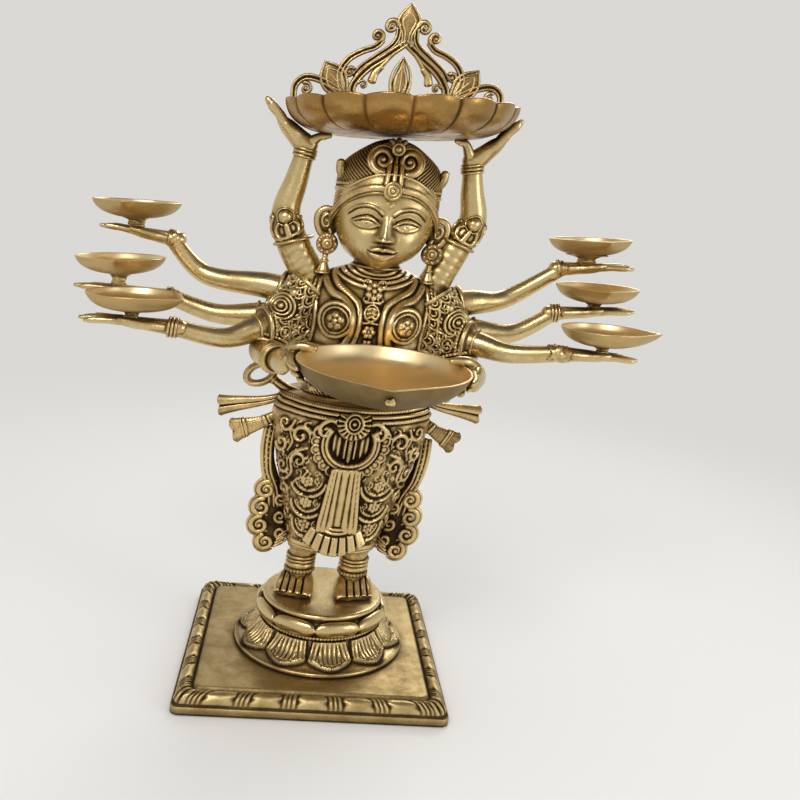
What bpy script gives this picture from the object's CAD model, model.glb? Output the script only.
import math
import bpy
import numpy as np
from mathutils import Matrix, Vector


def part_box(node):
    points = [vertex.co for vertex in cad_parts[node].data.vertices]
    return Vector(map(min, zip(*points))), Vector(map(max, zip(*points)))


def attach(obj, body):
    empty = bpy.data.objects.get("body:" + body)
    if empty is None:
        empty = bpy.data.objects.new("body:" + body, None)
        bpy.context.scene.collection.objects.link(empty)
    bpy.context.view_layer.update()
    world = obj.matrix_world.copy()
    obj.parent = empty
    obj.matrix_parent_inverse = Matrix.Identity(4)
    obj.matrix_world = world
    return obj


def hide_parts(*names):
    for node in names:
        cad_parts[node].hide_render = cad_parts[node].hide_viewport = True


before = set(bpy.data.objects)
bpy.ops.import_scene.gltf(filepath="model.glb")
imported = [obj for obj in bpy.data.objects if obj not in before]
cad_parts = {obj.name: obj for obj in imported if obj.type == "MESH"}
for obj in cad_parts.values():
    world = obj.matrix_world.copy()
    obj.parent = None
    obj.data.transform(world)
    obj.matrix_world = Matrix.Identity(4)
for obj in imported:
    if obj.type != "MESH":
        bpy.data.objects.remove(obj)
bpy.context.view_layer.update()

TAU = 2 * math.pi

# The square base plate: cast brass, open below, with a plain edge and a rolled border.
# The border carries long bosses with fine ribs between them, and the field inside is filed flat.
plate_low, plate_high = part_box("base_plate")
PLATE_MIDDLE = [1000 * (plate_low[k] + plate_high[k]) / 2 for k in (0, 1)]
PLATE_HALF, PLATE_HIGH, PLATE_BAND, PLATE_WALL = 120, 18, 8, 4
EDGE_STEPS, BEND_STEPS = 200, 16


def on_plate(points):
    """Millimetres round the plate's middle, turned into metres in the lamp's frame."""
    return (np.asarray(points, float) + [PLATE_MIDDLE[0], PLATE_MIDDLE[1], 0]) / 1000


def link(nodes, start, end):
    nodes.id_data.links.new(start, end)


def shade_node(nodes, kind, *inputs, out=0, **settings):
    """A new shader node, fed with numbers, colours or other nodes' outputs; gives one of its outputs."""
    made = nodes.new("ShaderNode" + kind)
    for name, value in settings.items():
        setattr(made, name, value)
    for socket, value in inputs:
        if isinstance(value, bpy.types.NodeSocket):
            link(nodes, value, made.inputs[socket])
        else:
            made.inputs[socket].default_value = value
    return made.outputs[out]


def cast_brass(name, worn, metal, grime, gloss, dirt=1.0, grain=0.5, warm=0.0, age=0.0, mottled=1.0):
    """Brass that is bright where hands rub it and brown to black in its hollows."""
    material = bpy.data.materials.new(name)
    material.use_nodes = True
    nodes = material.node_tree.nodes
    shader = nodes["Principled BSDF"]
    place = shade_node(nodes, "TexCoord", out="Object")

    def noise(scale, detail, rough=0.55):
        return shade_node(nodes, "TexNoise", ("Scale", scale), ("Detail", detail), ("Roughness", rough),
                          ("Vector", place))

    def sums(kind, a, b, clamp=False):
        return shade_node(nodes, "Math", (0, a), (1, b), operation=kind, use_clamp=clamp)

    def span(value, low, high, to_low, to_high):
        return shade_node(nodes, "MapRange", ("Value", value), ("From Min", low), ("From Max", high),
                          ("To Min", to_low), ("To Max", to_high))

    carved = shade_node(nodes, "Attribute", attribute_name="carve", out="Fac")
    shade = shade_node(nodes, "AmbientOcclusion", ("Distance", 0.009), samples=6, out="AO")
    cloud, patch, speck = noise(22, 5), noise(75, 4), noise(420, 3)
    grime_here = sums("ADD", sums("MULTIPLY", carved, 0.9 * dirt),
                      sums("MULTIPLY", sums("SUBTRACT", 1.0, shade), 0.75 * dirt))
    stain = sums("ADD", span(cloud, 0.35, 0.7, -0.08, 0.2), span(patch, 0.35, 0.7, -0.06, 0.14))
    stain = sums("ADD", stain, span(speck, 0.4, 0.75, -0.03, 0.1))
    total = sums("ADD", grime_here, sums("ADD", sums("MULTIPLY", stain, mottled), age), clamp=True)
    colours = shade_node(nodes, "ValToRGB", ("Fac", total))
    ramp = colours.node.color_ramp
    ramp.elements[0].position, ramp.elements[1].position = 0.02, 0.95
    ramp.elements[0].color = (*worn, 1)
    ramp.elements[1].color = (*grime, 1)
    ramp.elements.new(0.26).color = (*metal, 1)
    ramp.elements.new(0.58).color = (*[0.30 * m + 0.70 * g for m, g in zip(metal, grime)], 1)
    tint = shade_node(nodes, "Mix", (0, span(noise(9, 3), 0.42, 0.68, 0.0, warm)), (6, colours),
                      (7, (metal[0] * 1.05, metal[1] * 0.72, metal[2] * 0.35, 1)), data_type="RGBA", out=2)
    link(nodes, tint, shader.inputs["Base Color"])
    link(nodes, span(total, 0.35, 1.0, 1.0, 0.85), shader.inputs["Metallic"])
    rough = sums("ADD", span(total, 0.05, 0.9, gloss, 0.72), span(patch, 0.3, 0.75, -0.06, 0.1))
    link(nodes, rough, shader.inputs["Roughness"])
    grit = sums("ADD", noise(650, 4, 0.7), sums("MULTIPLY", noise(160, 3), 1.4))
    bump = shade_node(nodes, "Bump", ("Strength", grain), ("Distance", 0.0004), ("Height", grit))
    link(nodes, bump, shader.inputs["Normal"])
    return material


GRIME, DARK_GRIME = (0.034, 0.016, 0.006), (0.026, 0.012, 0.004)
antique_brass = cast_brass("antique_brass", (0.70, 0.52, 0.25), (0.37, 0.25, 0.10), DARK_GRIME, 0.29)
satin_brass = cast_brass("satin_brass", (0.66, 0.505, 0.25), (0.46, 0.33, 0.14), GRIME, 0.27, 0.8, 0.3, mottled=0.7)
filed_brass = cast_brass("filed_brass", (0.60, 0.45, 0.21), (0.31, 0.215, 0.085), DARK_GRIME, 0.40, 0.9, 0.3,
                         age=0.1, mottled=0.5)


def faces_of(rows, columns, closed=False):
    """Four-sided faces over a net that runs round, with a fan at either end if it is closed."""
    i, j = np.meshgrid(np.arange(rows - 1), np.arange(columns), indexing="ij")
    here, beside = i * columns + j, i * columns + (j + 1) % columns
    faces = [np.stack([here, beside, beside + columns, here + columns], -1).reshape(-1, 4)]
    if closed:
        edge, none = np.arange(columns), np.full(columns, -1)
        turned, last = np.roll(edge, -1), (rows - 1) * columns
        faces.append(np.stack([none + 1 + rows * columns, turned, edge, none], -1))
        faces.append(np.stack([none + 2 + rows * columns, last + edge, last + turned, none], -1))
    return np.concatenate(faces)


def net(points, carve=0.0):
    """A net of points, closed at both ends, as one part: its points, its faces and how deep it is carved."""
    rows, columns = points.shape[:2]
    carve = np.zeros((rows, columns)) + carve
    ends = [0, rows - 1]
    marks = np.concatenate([carve.reshape(-1), carve[ends].mean(1)])
    return np.concatenate([points.reshape(-1, 3), points[ends].mean(1)]), faces_of(rows, columns, True), marks


def joined(parts):
    """Several parts as one."""
    points, faces, marks = zip(*parts)
    starts = np.cumsum([0] + [len(p) for p in points])
    faces = [np.where(f < 0, -1, f + start) for f, start in zip(faces, starts)]
    return np.concatenate(points), np.concatenate(faces), np.concatenate(marks)


def fill_mesh(name, part):
    """A Blender mesh from a part whose points are in metres."""
    points, faces, marks = part
    three = faces[:, 3] < 0
    sizes = np.where(three, 3, 4)
    mesh = bpy.data.meshes.new(name)
    mesh.vertices.add(len(points))
    mesh.vertices.foreach_set("co", np.ascontiguousarray(points, np.float32).ravel())
    mesh.loops.add(int(sizes.sum()))
    mesh.loops.foreach_set("vertex_index", faces[faces >= 0].astype(np.int32))
    mesh.polygons.add(len(faces))
    mesh.polygons.foreach_set("loop_start", np.concatenate([[0], np.cumsum(sizes)[:-1]]).astype(np.int32))
    mesh.update(calc_edges=True)
    mesh.polygons.foreach_set("use_smooth", np.ones(len(faces), bool))
    layer = mesh.attributes.new("carve", "FLOAT", "POINT")
    layer.data.foreach_set("value", np.ascontiguousarray(marks, np.float32))
    return mesh


def add_piece(name, part, node, material):
    """A finished piece of the lamp that stands for one solid of the frame."""
    piece = bpy.data.objects.new(name, fill_mesh(name, part))
    bpy.context.scene.collection.objects.link(piece)
    piece.data.materials.append(material)
    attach(piece, "root")
    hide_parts(node)
    return piece


def soften(field, cells, around=True):
    """A field blurred over a few cells each way."""
    for _ in range(2):
        for axis in (0, 1):
            pad = [(0, 0), (0, 0)]
            pad[axis] = (cells, cells)
            wide = np.pad(field, pad, mode="wrap" if around and axis == 1 else "edge")
            total = np.insert(np.cumsum(wide, axis=axis), 0, 0, axis=axis)
            low = np.arange(field.shape[axis])
            high = np.take(total, low + 2 * cells + 1, axis=axis)
            field = (high - np.take(total, low, axis=axis)) / (2 * cells + 1)
    return field


def outward(points):
    """Unit normals of a net."""
    normal = np.cross(np.roll(points, -1, 1) - np.roll(points, 1, 1), np.gradient(points, axis=0))
    return normal / np.maximum(np.linalg.norm(normal, axis=2, keepdims=True), 1e-9)


def raised(points, height):
    """A net raised along its normals by a height in millimetres."""
    return points + outward(points) * height[..., None]


def ridge_of(share):
    """The height of a half-round ridge, where share runs from -1 to 1 across it."""
    return np.sqrt(np.clip(1 - share * share, 0, 1))


def carved_net(points, height, cells=3, depth=0.8, base=0.0):
    """A raised net as one part, with its hollows marked for the patina."""
    return net(raised(points, height), np.clip((soften(height, cells) - height) / depth + base, -0.25, 1))


def square_ring(half, corner):
    """Points round a square with round corners, counter-clockwise."""
    inset = half - corner
    side = [(half, y) for y in np.linspace(-inset, inset, EDGE_STEPS, endpoint=False)]
    bend = [(inset + corner * math.cos(a), inset + corner * math.sin(a))
            for a in np.linspace(0, TAU / 4, BEND_STEPS, endpoint=False)]
    points = []
    for quarter in range(4):
        c, s = math.cos(quarter * TAU / 4), math.sin(quarter * TAU / 4)
        points += [(x * c - y * s, x * s + y * c) for x, y in side + bend]
    return np.array(points)


def make_plate():
    wall, roof = PLATE_HALF - PLATE_WALL, PLATE_HIGH - PLATE_WALL
    rows = [(20, 4, roof), (60, 6, roof), (96, 8, roof), (103, 8, roof - 1), (wall - 2, 8, 9), (wall, 8, 6),
            (wall, 8, 0.4), (wall + 0.5, 8, 0), (PLATE_HALF - 0.8, 8, 0), (PLATE_HALF, 8, 0.8)]
    rows += [(PLATE_HALF, 8, z) for z in (2.5, 4.5, 6.4)]
    rows += [(PLATE_HALF - 0.3, 8, 7.2), (PLATE_HALF - 1.2, 8, 7.8), (PLATE_HALF - 2.4, 8, 8.0)]
    first = len(rows)
    for t in np.linspace(0.04, 1, 24):
        angle = t * 2.45
        rows.append((PLATE_HALF - 2.6 - 7.3 * (1 - math.cos(angle)), 8, PLATE_BAND + 9.6 * math.sin(angle)))
    last = len(rows)
    edge = rows[-1][0]
    rows += [(edge - 0.8, 7, rows[-1][2] - 0.3), (edge - 1.6, 7, rows[-1][2] + 1.0), (edge - 2.6, 7, PLATE_HIGH - 0.5),
             (edge - 4, 6, PLATE_HIGH - 0.3)]
    rows += [(half, max(3, half * 0.05), PLATE_HIGH - 0.3) for half in (96, 85, 70, 50, 30, 12)]
    around = 4 * (EDGE_STEPS + BEND_STEPS)
    points = np.array([np.column_stack([square_ring(h, min(c, h - 1)), np.full(around, z)]) for h, c, z in rows])
    spot = (np.linspace(0, 4, around, endpoint=False) % 1) * around / 4 - EDGE_STEPS / 2
    roll = np.linspace(0, 1, last - first)[:, None]
    pitch, boss_half = 37.0, 11.5
    off = np.abs((spot + pitch / 2) % pitch - pitch / 2)
    boss = np.clip(1 - (off / boss_half) ** 4, 0, 1) ** 0.5
    ribs = 0.5 + 0.5 * np.cos((off - pitch / 2) * TAU / 3.6)
    between = np.clip((off - boss_half) / 1.2, 0, 1)
    corner = np.clip((np.abs(spot) - 97) / 2, 0, 1)
    wrap = np.where(between > 0.5, -0.9 + 1.5 * ribs, 1.3 * boss - 0.9)
    wrap = wrap * (1 - corner) + 0.9 * np.cos((np.abs(spot) - 107) * TAU / 7) * corner
    rise = np.sin(np.clip(roll, 0, 1) * math.pi) ** 0.45
    fan = 0.55 * np.cos((roll - 0.5) * TAU * 2.3) * (1 - between) * np.clip(off / boss_half, 0, 1) ** 3
    relief = np.zeros(points.shape[:2])
    relief[first:last] = rise * wrap + fan * rise
    relief[last:last + 2] += 0.25 * np.sin(spot * 1.9) * np.sin(spot * 0.53 + 1)
    marks = np.zeros(relief.shape)
    marks[first:last] = np.clip((soften(relief, 3)[first:last] - relief[first:last]) / 0.8, -0.2, 1)
    marks[first - 2:first + 1] += 0.55
    marks[last - 1:last + 1] += 0.6
    marks[:first - 6] += 0.4
    return net(on_plate(raised(points, relief)), marks)


add_piece("plate_casting", make_plate(), "base_plate", filed_brass)

# The lotus under the figure: one casting with a flat flange, a ring of long turned-down petals,
# a string of beads, a ring of fat petals, and the round disc that the feet stand on.
LOTUS_FOOT, LEAN_START, LOTUS_HIGH = 18.3, 5, 48.5
LOWER_PETALS, LOWER_TURN, UPPER_PETALS, UPPER_TURN = 10, math.radians(8), 9, math.radians(14)


def make_lotus():
    cone = [(1 - t) ** 2 * np.array([78, 4.2]) + 2 * t * (1 - t) * np.array([62.5, 6.5]) + t * t * np.array([55, 23.2])
            for t in np.linspace(0, 1, 38)]
    rows = [(12, 0), (40, 0), (70, 0), (79.6, 0), (80.7, 0.5), (81, 1.4), (81, 2.6), (80.6, 3.5), (79.7, 4.1)]
    first = len(rows)
    rows += [tuple(p) for p in cone]
    last = len(rows)
    rows += [(55 + 1.9 * math.sin(a), 25.2 - 1.9 * math.cos(a)) for a in np.linspace(0.3, TAU / 2 - 0.3, 9)]
    beads = slice(last, len(rows))
    rows += [(53.6, 27.4), (53.8, 28.2)]
    fat_first = len(rows)
    rows += [(54.2 + 5.6 * math.sin(a) ** 0.8, 35.4 - 7.0 * math.cos(a)) for a in np.linspace(0.1, TAU / 2 - 0.1, 26)]
    fat_last = len(rows)
    rows += [(53.2, 42.7), (53.2, 43.1)]
    rows += [(54.2 + 2.8 * math.sin(a), 45.8 - 2.7 * math.cos(a)) for a in np.linspace(0.25, TAU / 2, 12)]
    rows += [(r, LOTUS_HIGH) for r in (52.8, 50, 42, 30, 15)]
    angle = np.linspace(0, TAU, 640, endpoint=False)
    r, z = np.array(rows).T[..., None]
    points = np.stack([r * np.sin(angle), -r * np.cos(angle), LOTUS_FOOT + z + 0 * angle], -1)
    relief = np.zeros(points.shape[:2])

    # turned-down petals: a rounded edge, an inner groove, ribs in the field and a row of dots at its end
    length = np.concatenate([[0], np.cumsum(np.hypot(*np.diff(np.array(cone), axis=0).T))])
    full = length[-1]
    down = (full - length)[:, None]
    spacing = TAU / LOWER_PETALS
    beside = ((angle - LOWER_TURN + spacing / 2) % spacing - spacing / 2) * r[first:last]
    q, broadest, rib = down / full, 0.64, 4.1
    point = np.clip((q - broadest) / 0.35, 0, 1)
    half = np.where(q < broadest, 14.8 + 5.6 * (q / broadest) ** 1.2,
                    20.4 * (1 - point ** 1.2) + 1.5 * np.sin(point * math.pi))
    inside = half - np.abs(beside)
    edge = np.clip(inside / 1.3, 0, 1)
    petal = 3.6 * edge * edge * (3 - 2 * edge)
    petal += 0.95 * np.cos(np.clip(inside - 0.9, 0, 8.4) * TAU / 4.2) * (inside > 0) * (inside < 9)
    field = np.clip((inside - 7.2) / 1.5, 0, 1) * np.clip((0.78 - q) / 0.05, 0, 1)
    petal += field * (0.75 * np.cos(beside * TAU / rib) - 0.3)
    for k in range(-2, 3):
        dot = np.hypot(beside - k * rib, down - full * (0.83 - 0.02 * abs(k)))
        petal -= 1.3 * np.exp(-(dot / 0.9) ** 2)
    relief[first:last] = petal

    relief[beads] = 0.9 * (np.abs(np.cos(angle * 54)) ** 0.7 - 0.5) * np.sin(
        np.linspace(0.3, TAU / 2 - 0.3, 9))[:, None]

    # fat petals with a lip under each
    spread = TAU / UPPER_PETALS
    share = np.abs((angle - UPPER_TURN + spread / 2) % spread - spread / 2) / (spread / 2)
    climb = np.linspace(0, 1, fat_last - fat_first)[:, None]
    tall_here = np.maximum(np.clip(1 - share ** 2.6, 0, 1) ** 0.5, 0.04)
    pad = ridge_of((climb - 0.5) / (0.5 * tall_here)) ** 0.9
    lobes = 0.25 + 0.13 * np.abs(np.cos(share * math.pi * 0.9))
    lip = np.exp(-((climb - lobes) / 0.045) ** 2) * (pad > 0.2)
    relief[fat_first:fat_last] = 5.0 * pad - 1.6 - 1.1 * lip
    marks = np.clip((soften(relief, 3) - relief) / 0.9, -0.25, 1)
    marks[[last - 1, last, beads.stop, beads.stop + 1, fat_last, fat_last + 1]] += 0.7
    marks[first - 1:first + 2] += 0.35
    marks[fat_last + 14:] = 0.12
    return net(on_plate(raised(points, relief) + [LEAN_START, 0, 0]), marks)


add_piece("lotus_casting", make_lotus(), "lotus_pedestal", satin_brass)

# Three steel screws with washers, hidden in the hollow of the plate, hold the lotus down.
# They are turned stock parts, so they keep the frame's own shape under a zinc finish.
zinc = bpy.data.materials.new("zinc_steel")
zinc.use_nodes = True
zinc_nodes = zinc.node_tree.nodes
zinc_shader = zinc_nodes["Principled BSDF"]
zinc_shader.inputs["Metallic"].default_value = 1.0
zinc_cloud = shade_node(zinc_nodes, "TexNoise", ("Scale", 300),
                        ("Vector", shade_node(zinc_nodes, "TexCoord", out="Object")))
zinc_ramp = shade_node(zinc_nodes, "ValToRGB", ("Fac", zinc_cloud))
zinc_ramp.node.color_ramp.elements[0].color = (0.30, 0.31, 0.32, 1)
zinc_ramp.node.color_ramp.elements[1].color = (0.55, 0.56, 0.57, 1)
link(zinc_nodes, zinc_ramp, zinc_shader.inputs["Base Color"])
zinc_rough = shade_node(zinc_nodes, "MapRange", ("Value", zinc_cloud), ("To Min", 0.25), ("To Max", 0.5))
link(zinc_nodes, zinc_rough, zinc_shader.inputs["Roughness"])
for number in (1, 2, 3):
    for kind in ("screw", "washer"):
        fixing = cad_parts[f"pedestal_{kind}_{number}"].data
        fixing.materials.clear()
        fixing.materials.append(zinc)

# The skirt with its legs and feet: one heavy casting that carries the whole figure.
# Belts, a rosette, a garland, a pleated panel and crescent swags are chased over two rounded legs.
FLOOR_TO_SOLES, LEAN_PER_MM = 67.1, 0.06
SKIRT_LOW, SKIRT_HIGH = 50.0, 196.0


def on_figure(points):
    """Millimetres on the upright figure, heights from its soles, leaned and turned into metres."""
    points = np.array(points, float)
    points[..., 0] += LEAN_START + LEAN_PER_MM * (points[..., 2] + 0.3) + PLATE_MIDDLE[0]
    points[..., 1] += PLATE_MIDDLE[1]
    points[..., 2] += FLOOR_TO_SOLES
    return points / 1000


def placed(parts):
    """Parts joined into one piece and set in the lamp's frame."""
    points, faces, marks = joined(parts)
    return on_figure(points), faces, marks


def smooth_run(stations, count):
    """Values on a smooth curve through stations, evenly shared over count rows."""
    stations = np.array(stations, float)
    t = np.linspace(0, len(stations) - 1, count)
    i = np.minimum(t.astype(int), len(stations) - 2)
    f = (t - i)[:, None]
    at = lambda k: stations[np.clip(k, 0, len(stations) - 1)]
    a, b, c, d = at(i - 1), at(i), at(i + 1), at(i + 2)
    return b + 0.5 * f * (c - a + f * (2 * a - 5 * b + 4 * c - d + f * (3 * (b - c) + d - a)))


def even_ring(half, front, back, power, columns, y=0.0):
    """An oval from its back, counter-clockwise, with points at even steps along it."""
    a = np.linspace(TAU / 4, TAU * 1.25, 1441)
    x = half * np.sign(np.cos(a)) * np.abs(np.cos(a)) ** (2 / power)
    depth = np.sign(np.sin(a)) * np.abs(np.sin(a)) ** (2 / power)
    v = np.where(depth < 0, front, back) * depth
    run = np.concatenate([[0], np.cumsum(np.hypot(np.diff(x), np.diff(v)))])
    want = np.linspace(0, run[-1], columns, endpoint=False)
    return np.column_stack([np.interp(want, run, x), np.interp(want, run, v) + y]), run[-1]


def body_net(stations, rows, columns, power, y=0.0):
    """Rows of even rings: stations hold height, half width, front depth and back depth.
    Also gives each point's run round the body from the middle of its front, and its height."""
    points, runs = [], []
    for z, half, front, back in smooth_run(stations, rows):
        ring, girth = even_ring(half, front, back, power, columns, y)
        points.append(np.column_stack([ring, np.full(columns, z)]))
        runs.append((np.arange(columns) / columns - 0.5) * girth)
    points = np.array(points)
    return points, np.array(runs), points[..., 2].copy()


def trace(S, Z, path, reach):
    """For points near a path: which they are, how far off it, how far along it, and its length."""
    path = np.asarray(path, float)
    low, high = path.min(0) - reach, path.max(0) + reach
    spot = np.nonzero((S > low[0]) & (S < high[0]) & (Z > low[1]) & (Z < high[1]))
    s, z = S[spot], Z[spot]
    best, off, run, length = np.full(len(s), 1e9), np.zeros(len(s)), np.zeros(len(s)), 0.0
    for a, b in zip(path[:-1], path[1:]):
        step = b - a
        size = math.hypot(*step)
        if size < 1e-6:
            continue
        t = np.clip(((s - a[0]) * step[0] + (z - a[1]) * step[1]) / size ** 2, 0, 1)
        d = np.hypot(s - a[0] - t * step[0], z - a[1] - t * step[1])
        side = np.sign((s - a[0]) * step[1] - (z - a[1]) * step[0])
        closer = d < best
        best, off = np.where(closer, d, best), np.where(closer, d * side, off)
        run = np.where(closer, length + t * size, run)
        length += size
    return spot, best, off, run, max(length, 1e-6)


def cord(height, S, Z, path, half, rise, taper=1.0, level=0.0, pitch=0.0, hatch=0.3):
    """Raises a rounded cord along a path; with a pitch it is notched like a twisted rope."""
    spot, away, off, run, length = trace(S, Z, path, half * max(1, taper) + 0.5)
    width = half * (1 + (taper - 1) * run / length)
    shape = ridge_of(away / width)
    value = level + rise * shape
    if pitch:
        value = value - hatch * rise * shape * (0.5 + 0.5 * np.cos(TAU * (run + 0.8 * off) / pitch)) ** 2
    height[spot] = np.where(away < width, np.maximum(height[spot], value), height[spot])


def cords(height, S, Z, side, *rows):
    """Several cords, drawn for a body's right side or turned over for its left; a row is a path and its sizes."""
    for path, *sizes in rows:
        cord(height, S, Z, np.asarray(path, float) * [side, 1], *sizes)


def strand(height, level, place, half, rise, notch=1, base=0.0, where=True):
    """The height with a rounded strand laid all the way round, where level passes a place."""
    d = np.abs(level - place) / half
    return np.where((d < 1) & where, np.maximum(height, base + rise * ridge_of(d) * notch), height)


def bead(height, S, Z, x, z, radius, rise, level=0.0):
    """Raises a round bead."""
    spot = np.nonzero((np.abs(S - x) < radius) & (np.abs(Z - z) < radius))
    d = np.hypot(S[spot] - x, Z[spot] - z) / radius
    value = level + rise * ridge_of(d)
    height[spot] = np.where(d < 1, np.maximum(height[spot], value), height[spot])


def flower(height, S, Z, x, z, radius, petals, rise, level=0.0, turn=0.0):
    """A rosette of round petals about a bead."""
    for k in range(petals):
        a = turn + k * TAU / petals
        bead(height, S, Z, x + 0.62 * radius * math.cos(a), z + 0.62 * radius * math.sin(a), radius * 0.36, rise,
             level)
    bead(height, S, Z, x, z, radius * 0.32, rise * 1.25, level)


def arc(x, z, radius, start, end, squash=1.0, count=26):
    """Part of a circle, from a start to an end in degrees."""
    a = np.radians(np.linspace(start, end, count))
    return np.column_stack([x + radius * np.cos(a), z + squash * radius * np.sin(a)])


def curl(x, z, radius, start, turns, inner=0.2, count=34):
    """A spiral from its outer end inwards; start in degrees, turns against the clock if positive."""
    t = np.linspace(0, 1, count)
    a = math.radians(start) + turns * TAU * t
    r = radius * (1 - (1 - inner) * t)
    return np.column_stack([x + r * np.cos(a), z + r * np.sin(a)])


def curve(*points, count=24):
    return smooth_run(points, count)


def unit(vector):
    """A vector brought to length one."""
    return np.array(vector, float) / np.linalg.norm(vector)


def sizes_along(sizes, count):
    """Sizes given at a few stations, shared smoothly over count rows."""
    return smooth_run([[size] for size in sizes], count)[:, 0]


def sweep(path, girth, deep=None, hint=(0, 1, 0), steps=40, around=28, blunt=True):
    """Rows of a limb along a smooth path; girth is across the hint, deep is along it."""
    centre = smooth_run(path, steps)
    wide = sizes_along(girth, steps)
    thick = wide if deep is None else sizes_along(deep, steps)
    if blunt:
        tail = (centre[-1] - centre[-2]) / (np.linalg.norm(centre[-1] - centre[-2]) + 1e-9)
        head = (centre[0] - centre[1]) / (np.linalg.norm(centre[0] - centre[1]) + 1e-9)
        caps = np.array([0.38, 0.71, 0.92, 0.99])
        lid = np.sqrt(1 - caps ** 2)
        r0, r1 = min(wide[0], thick[0]), min(wide[-1], thick[-1])
        centre = np.concatenate([centre[0] + head * r0 * caps[::-1, None], centre,
                                 centre[-1] + tail * r1 * caps[:, None]])
        wide = np.concatenate([wide[0] * lid[::-1], wide, wide[-1] * lid])
        thick = np.concatenate([thick[0] * lid[::-1], thick, thick[-1] * lid])
    along = np.gradient(centre, axis=0)
    along /= np.maximum(np.linalg.norm(along, axis=1, keepdims=True), 1e-9)
    first = np.cross(np.array(hint, float), along)
    first /= np.maximum(np.linalg.norm(first, axis=1, keepdims=True), 1e-9)
    second = np.cross(along, first)
    a = np.linspace(0, TAU, around, endpoint=False)[:, None]
    return (centre[:, None] + first[:, None] * (np.cos(a) * wide[:, None, None])
            + second[:, None] * (np.sin(a) * thick[:, None, None]))


def tube(*args, carve=0.0, **kwargs):
    """A swept limb with blunt ends, as one part."""
    return net(sweep(*args, **kwargs), carve)


def looped(points, marks):
    """A net whose last row joins its first, as one part."""
    rows, columns = points.shape[:2]
    return (points.reshape(-1, 3), faces_of(rows + 1, columns) % (rows * columns),
            (marks + np.zeros((rows, columns))).reshape(-1))


def hoop(middle, along, girth, deep, wire, around=56, ribs=0, wide=1.0):
    """A closed ring round a limb, plain or notched into ribs; wide stretches it along the limb."""
    along = unit(along)
    first = unit(np.cross((0, 1, 0), along))
    second = np.cross(along, first)
    a = np.linspace(0, TAU, around, endpoint=False)[:, None, None]
    b = np.linspace(0, TAU, 12, endpoint=False)[None, :, None]
    size = wire * (1 + (0.22 * np.cos(ribs * a) if ribs else 0))
    reach_first, reach_second = girth + size * np.cos(b), deep + size * np.cos(b)
    points = (np.array(middle, float) + first * np.cos(a) * reach_first + second * np.sin(a) * reach_second
              + along * (wide * wire * np.sin(b)))
    points, faces, marks = looped(points, 0.35 * (0.5 - 0.5 * np.cos(ribs * a[..., 0])))
    return points, faces[:, ::-1], marks


def fused(parts, voxel):
    """Overlapping parts melted into one skin, as a wax model's pieces are, in millimetres."""
    mesh = fill_mesh("wax", joined(parts))
    wax = bpy.data.objects.new("wax", mesh)
    bpy.context.scene.collection.objects.link(wax)
    melt = wax.modifiers.new("melt", "REMESH")
    melt.mode, melt.voxel_size = "VOXEL", voxel
    rub = wax.modifiers.new("rub", "SMOOTH")
    rub.factor, rub.iterations = 0.5, 2
    melted = wax.evaluated_get(bpy.context.evaluated_depsgraph_get())
    done = melted.to_mesh()
    points = np.zeros(len(done.vertices) * 3, np.float32)
    done.vertices.foreach_get("co", points)
    faces = np.zeros(len(done.loops), np.int32)
    done.loops.foreach_get("vertex_index", faces)
    melted.to_mesh_clear()
    bpy.data.objects.remove(wax)
    bpy.data.meshes.remove(mesh)
    points = points.reshape(-1, 3).astype(float)
    return points, faces.reshape(-1, 4).astype(int), np.zeros(len(points))


def scroll_leaf(height, S, Z, x, z, size, side, up, rise):
    """A curled leaf with three lobes on its back, the chaser's usual filling."""
    spine = curl(x, z, size, 200 if side > 0 else -20, side * up * -1.15, 0.16)
    cord(height, S, Z, spine, size * 0.27, rise, 0.55)
    for k, turn in enumerate((0.05, 0.22, 0.42)):
        a, b = spine[int(turn * 33)], spine[int(turn * 33) + 3]
        d = (b - a) / np.hypot(*(b - a))
        away = np.array([d[1], -d[0]]) * (1 if np.dot(a - [x, z], [d[1], -d[0]]) > 0 else -1)
        tip = a + away * size * (0.62 - 0.08 * k) - d * size * 0.3
        lobe = curve(a, a + away * size * 0.35 + d * 0.5, tip, count=10)
        cord(height, S, Z, lobe, size * 0.2, rise * 0.8, 0.3)


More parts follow.
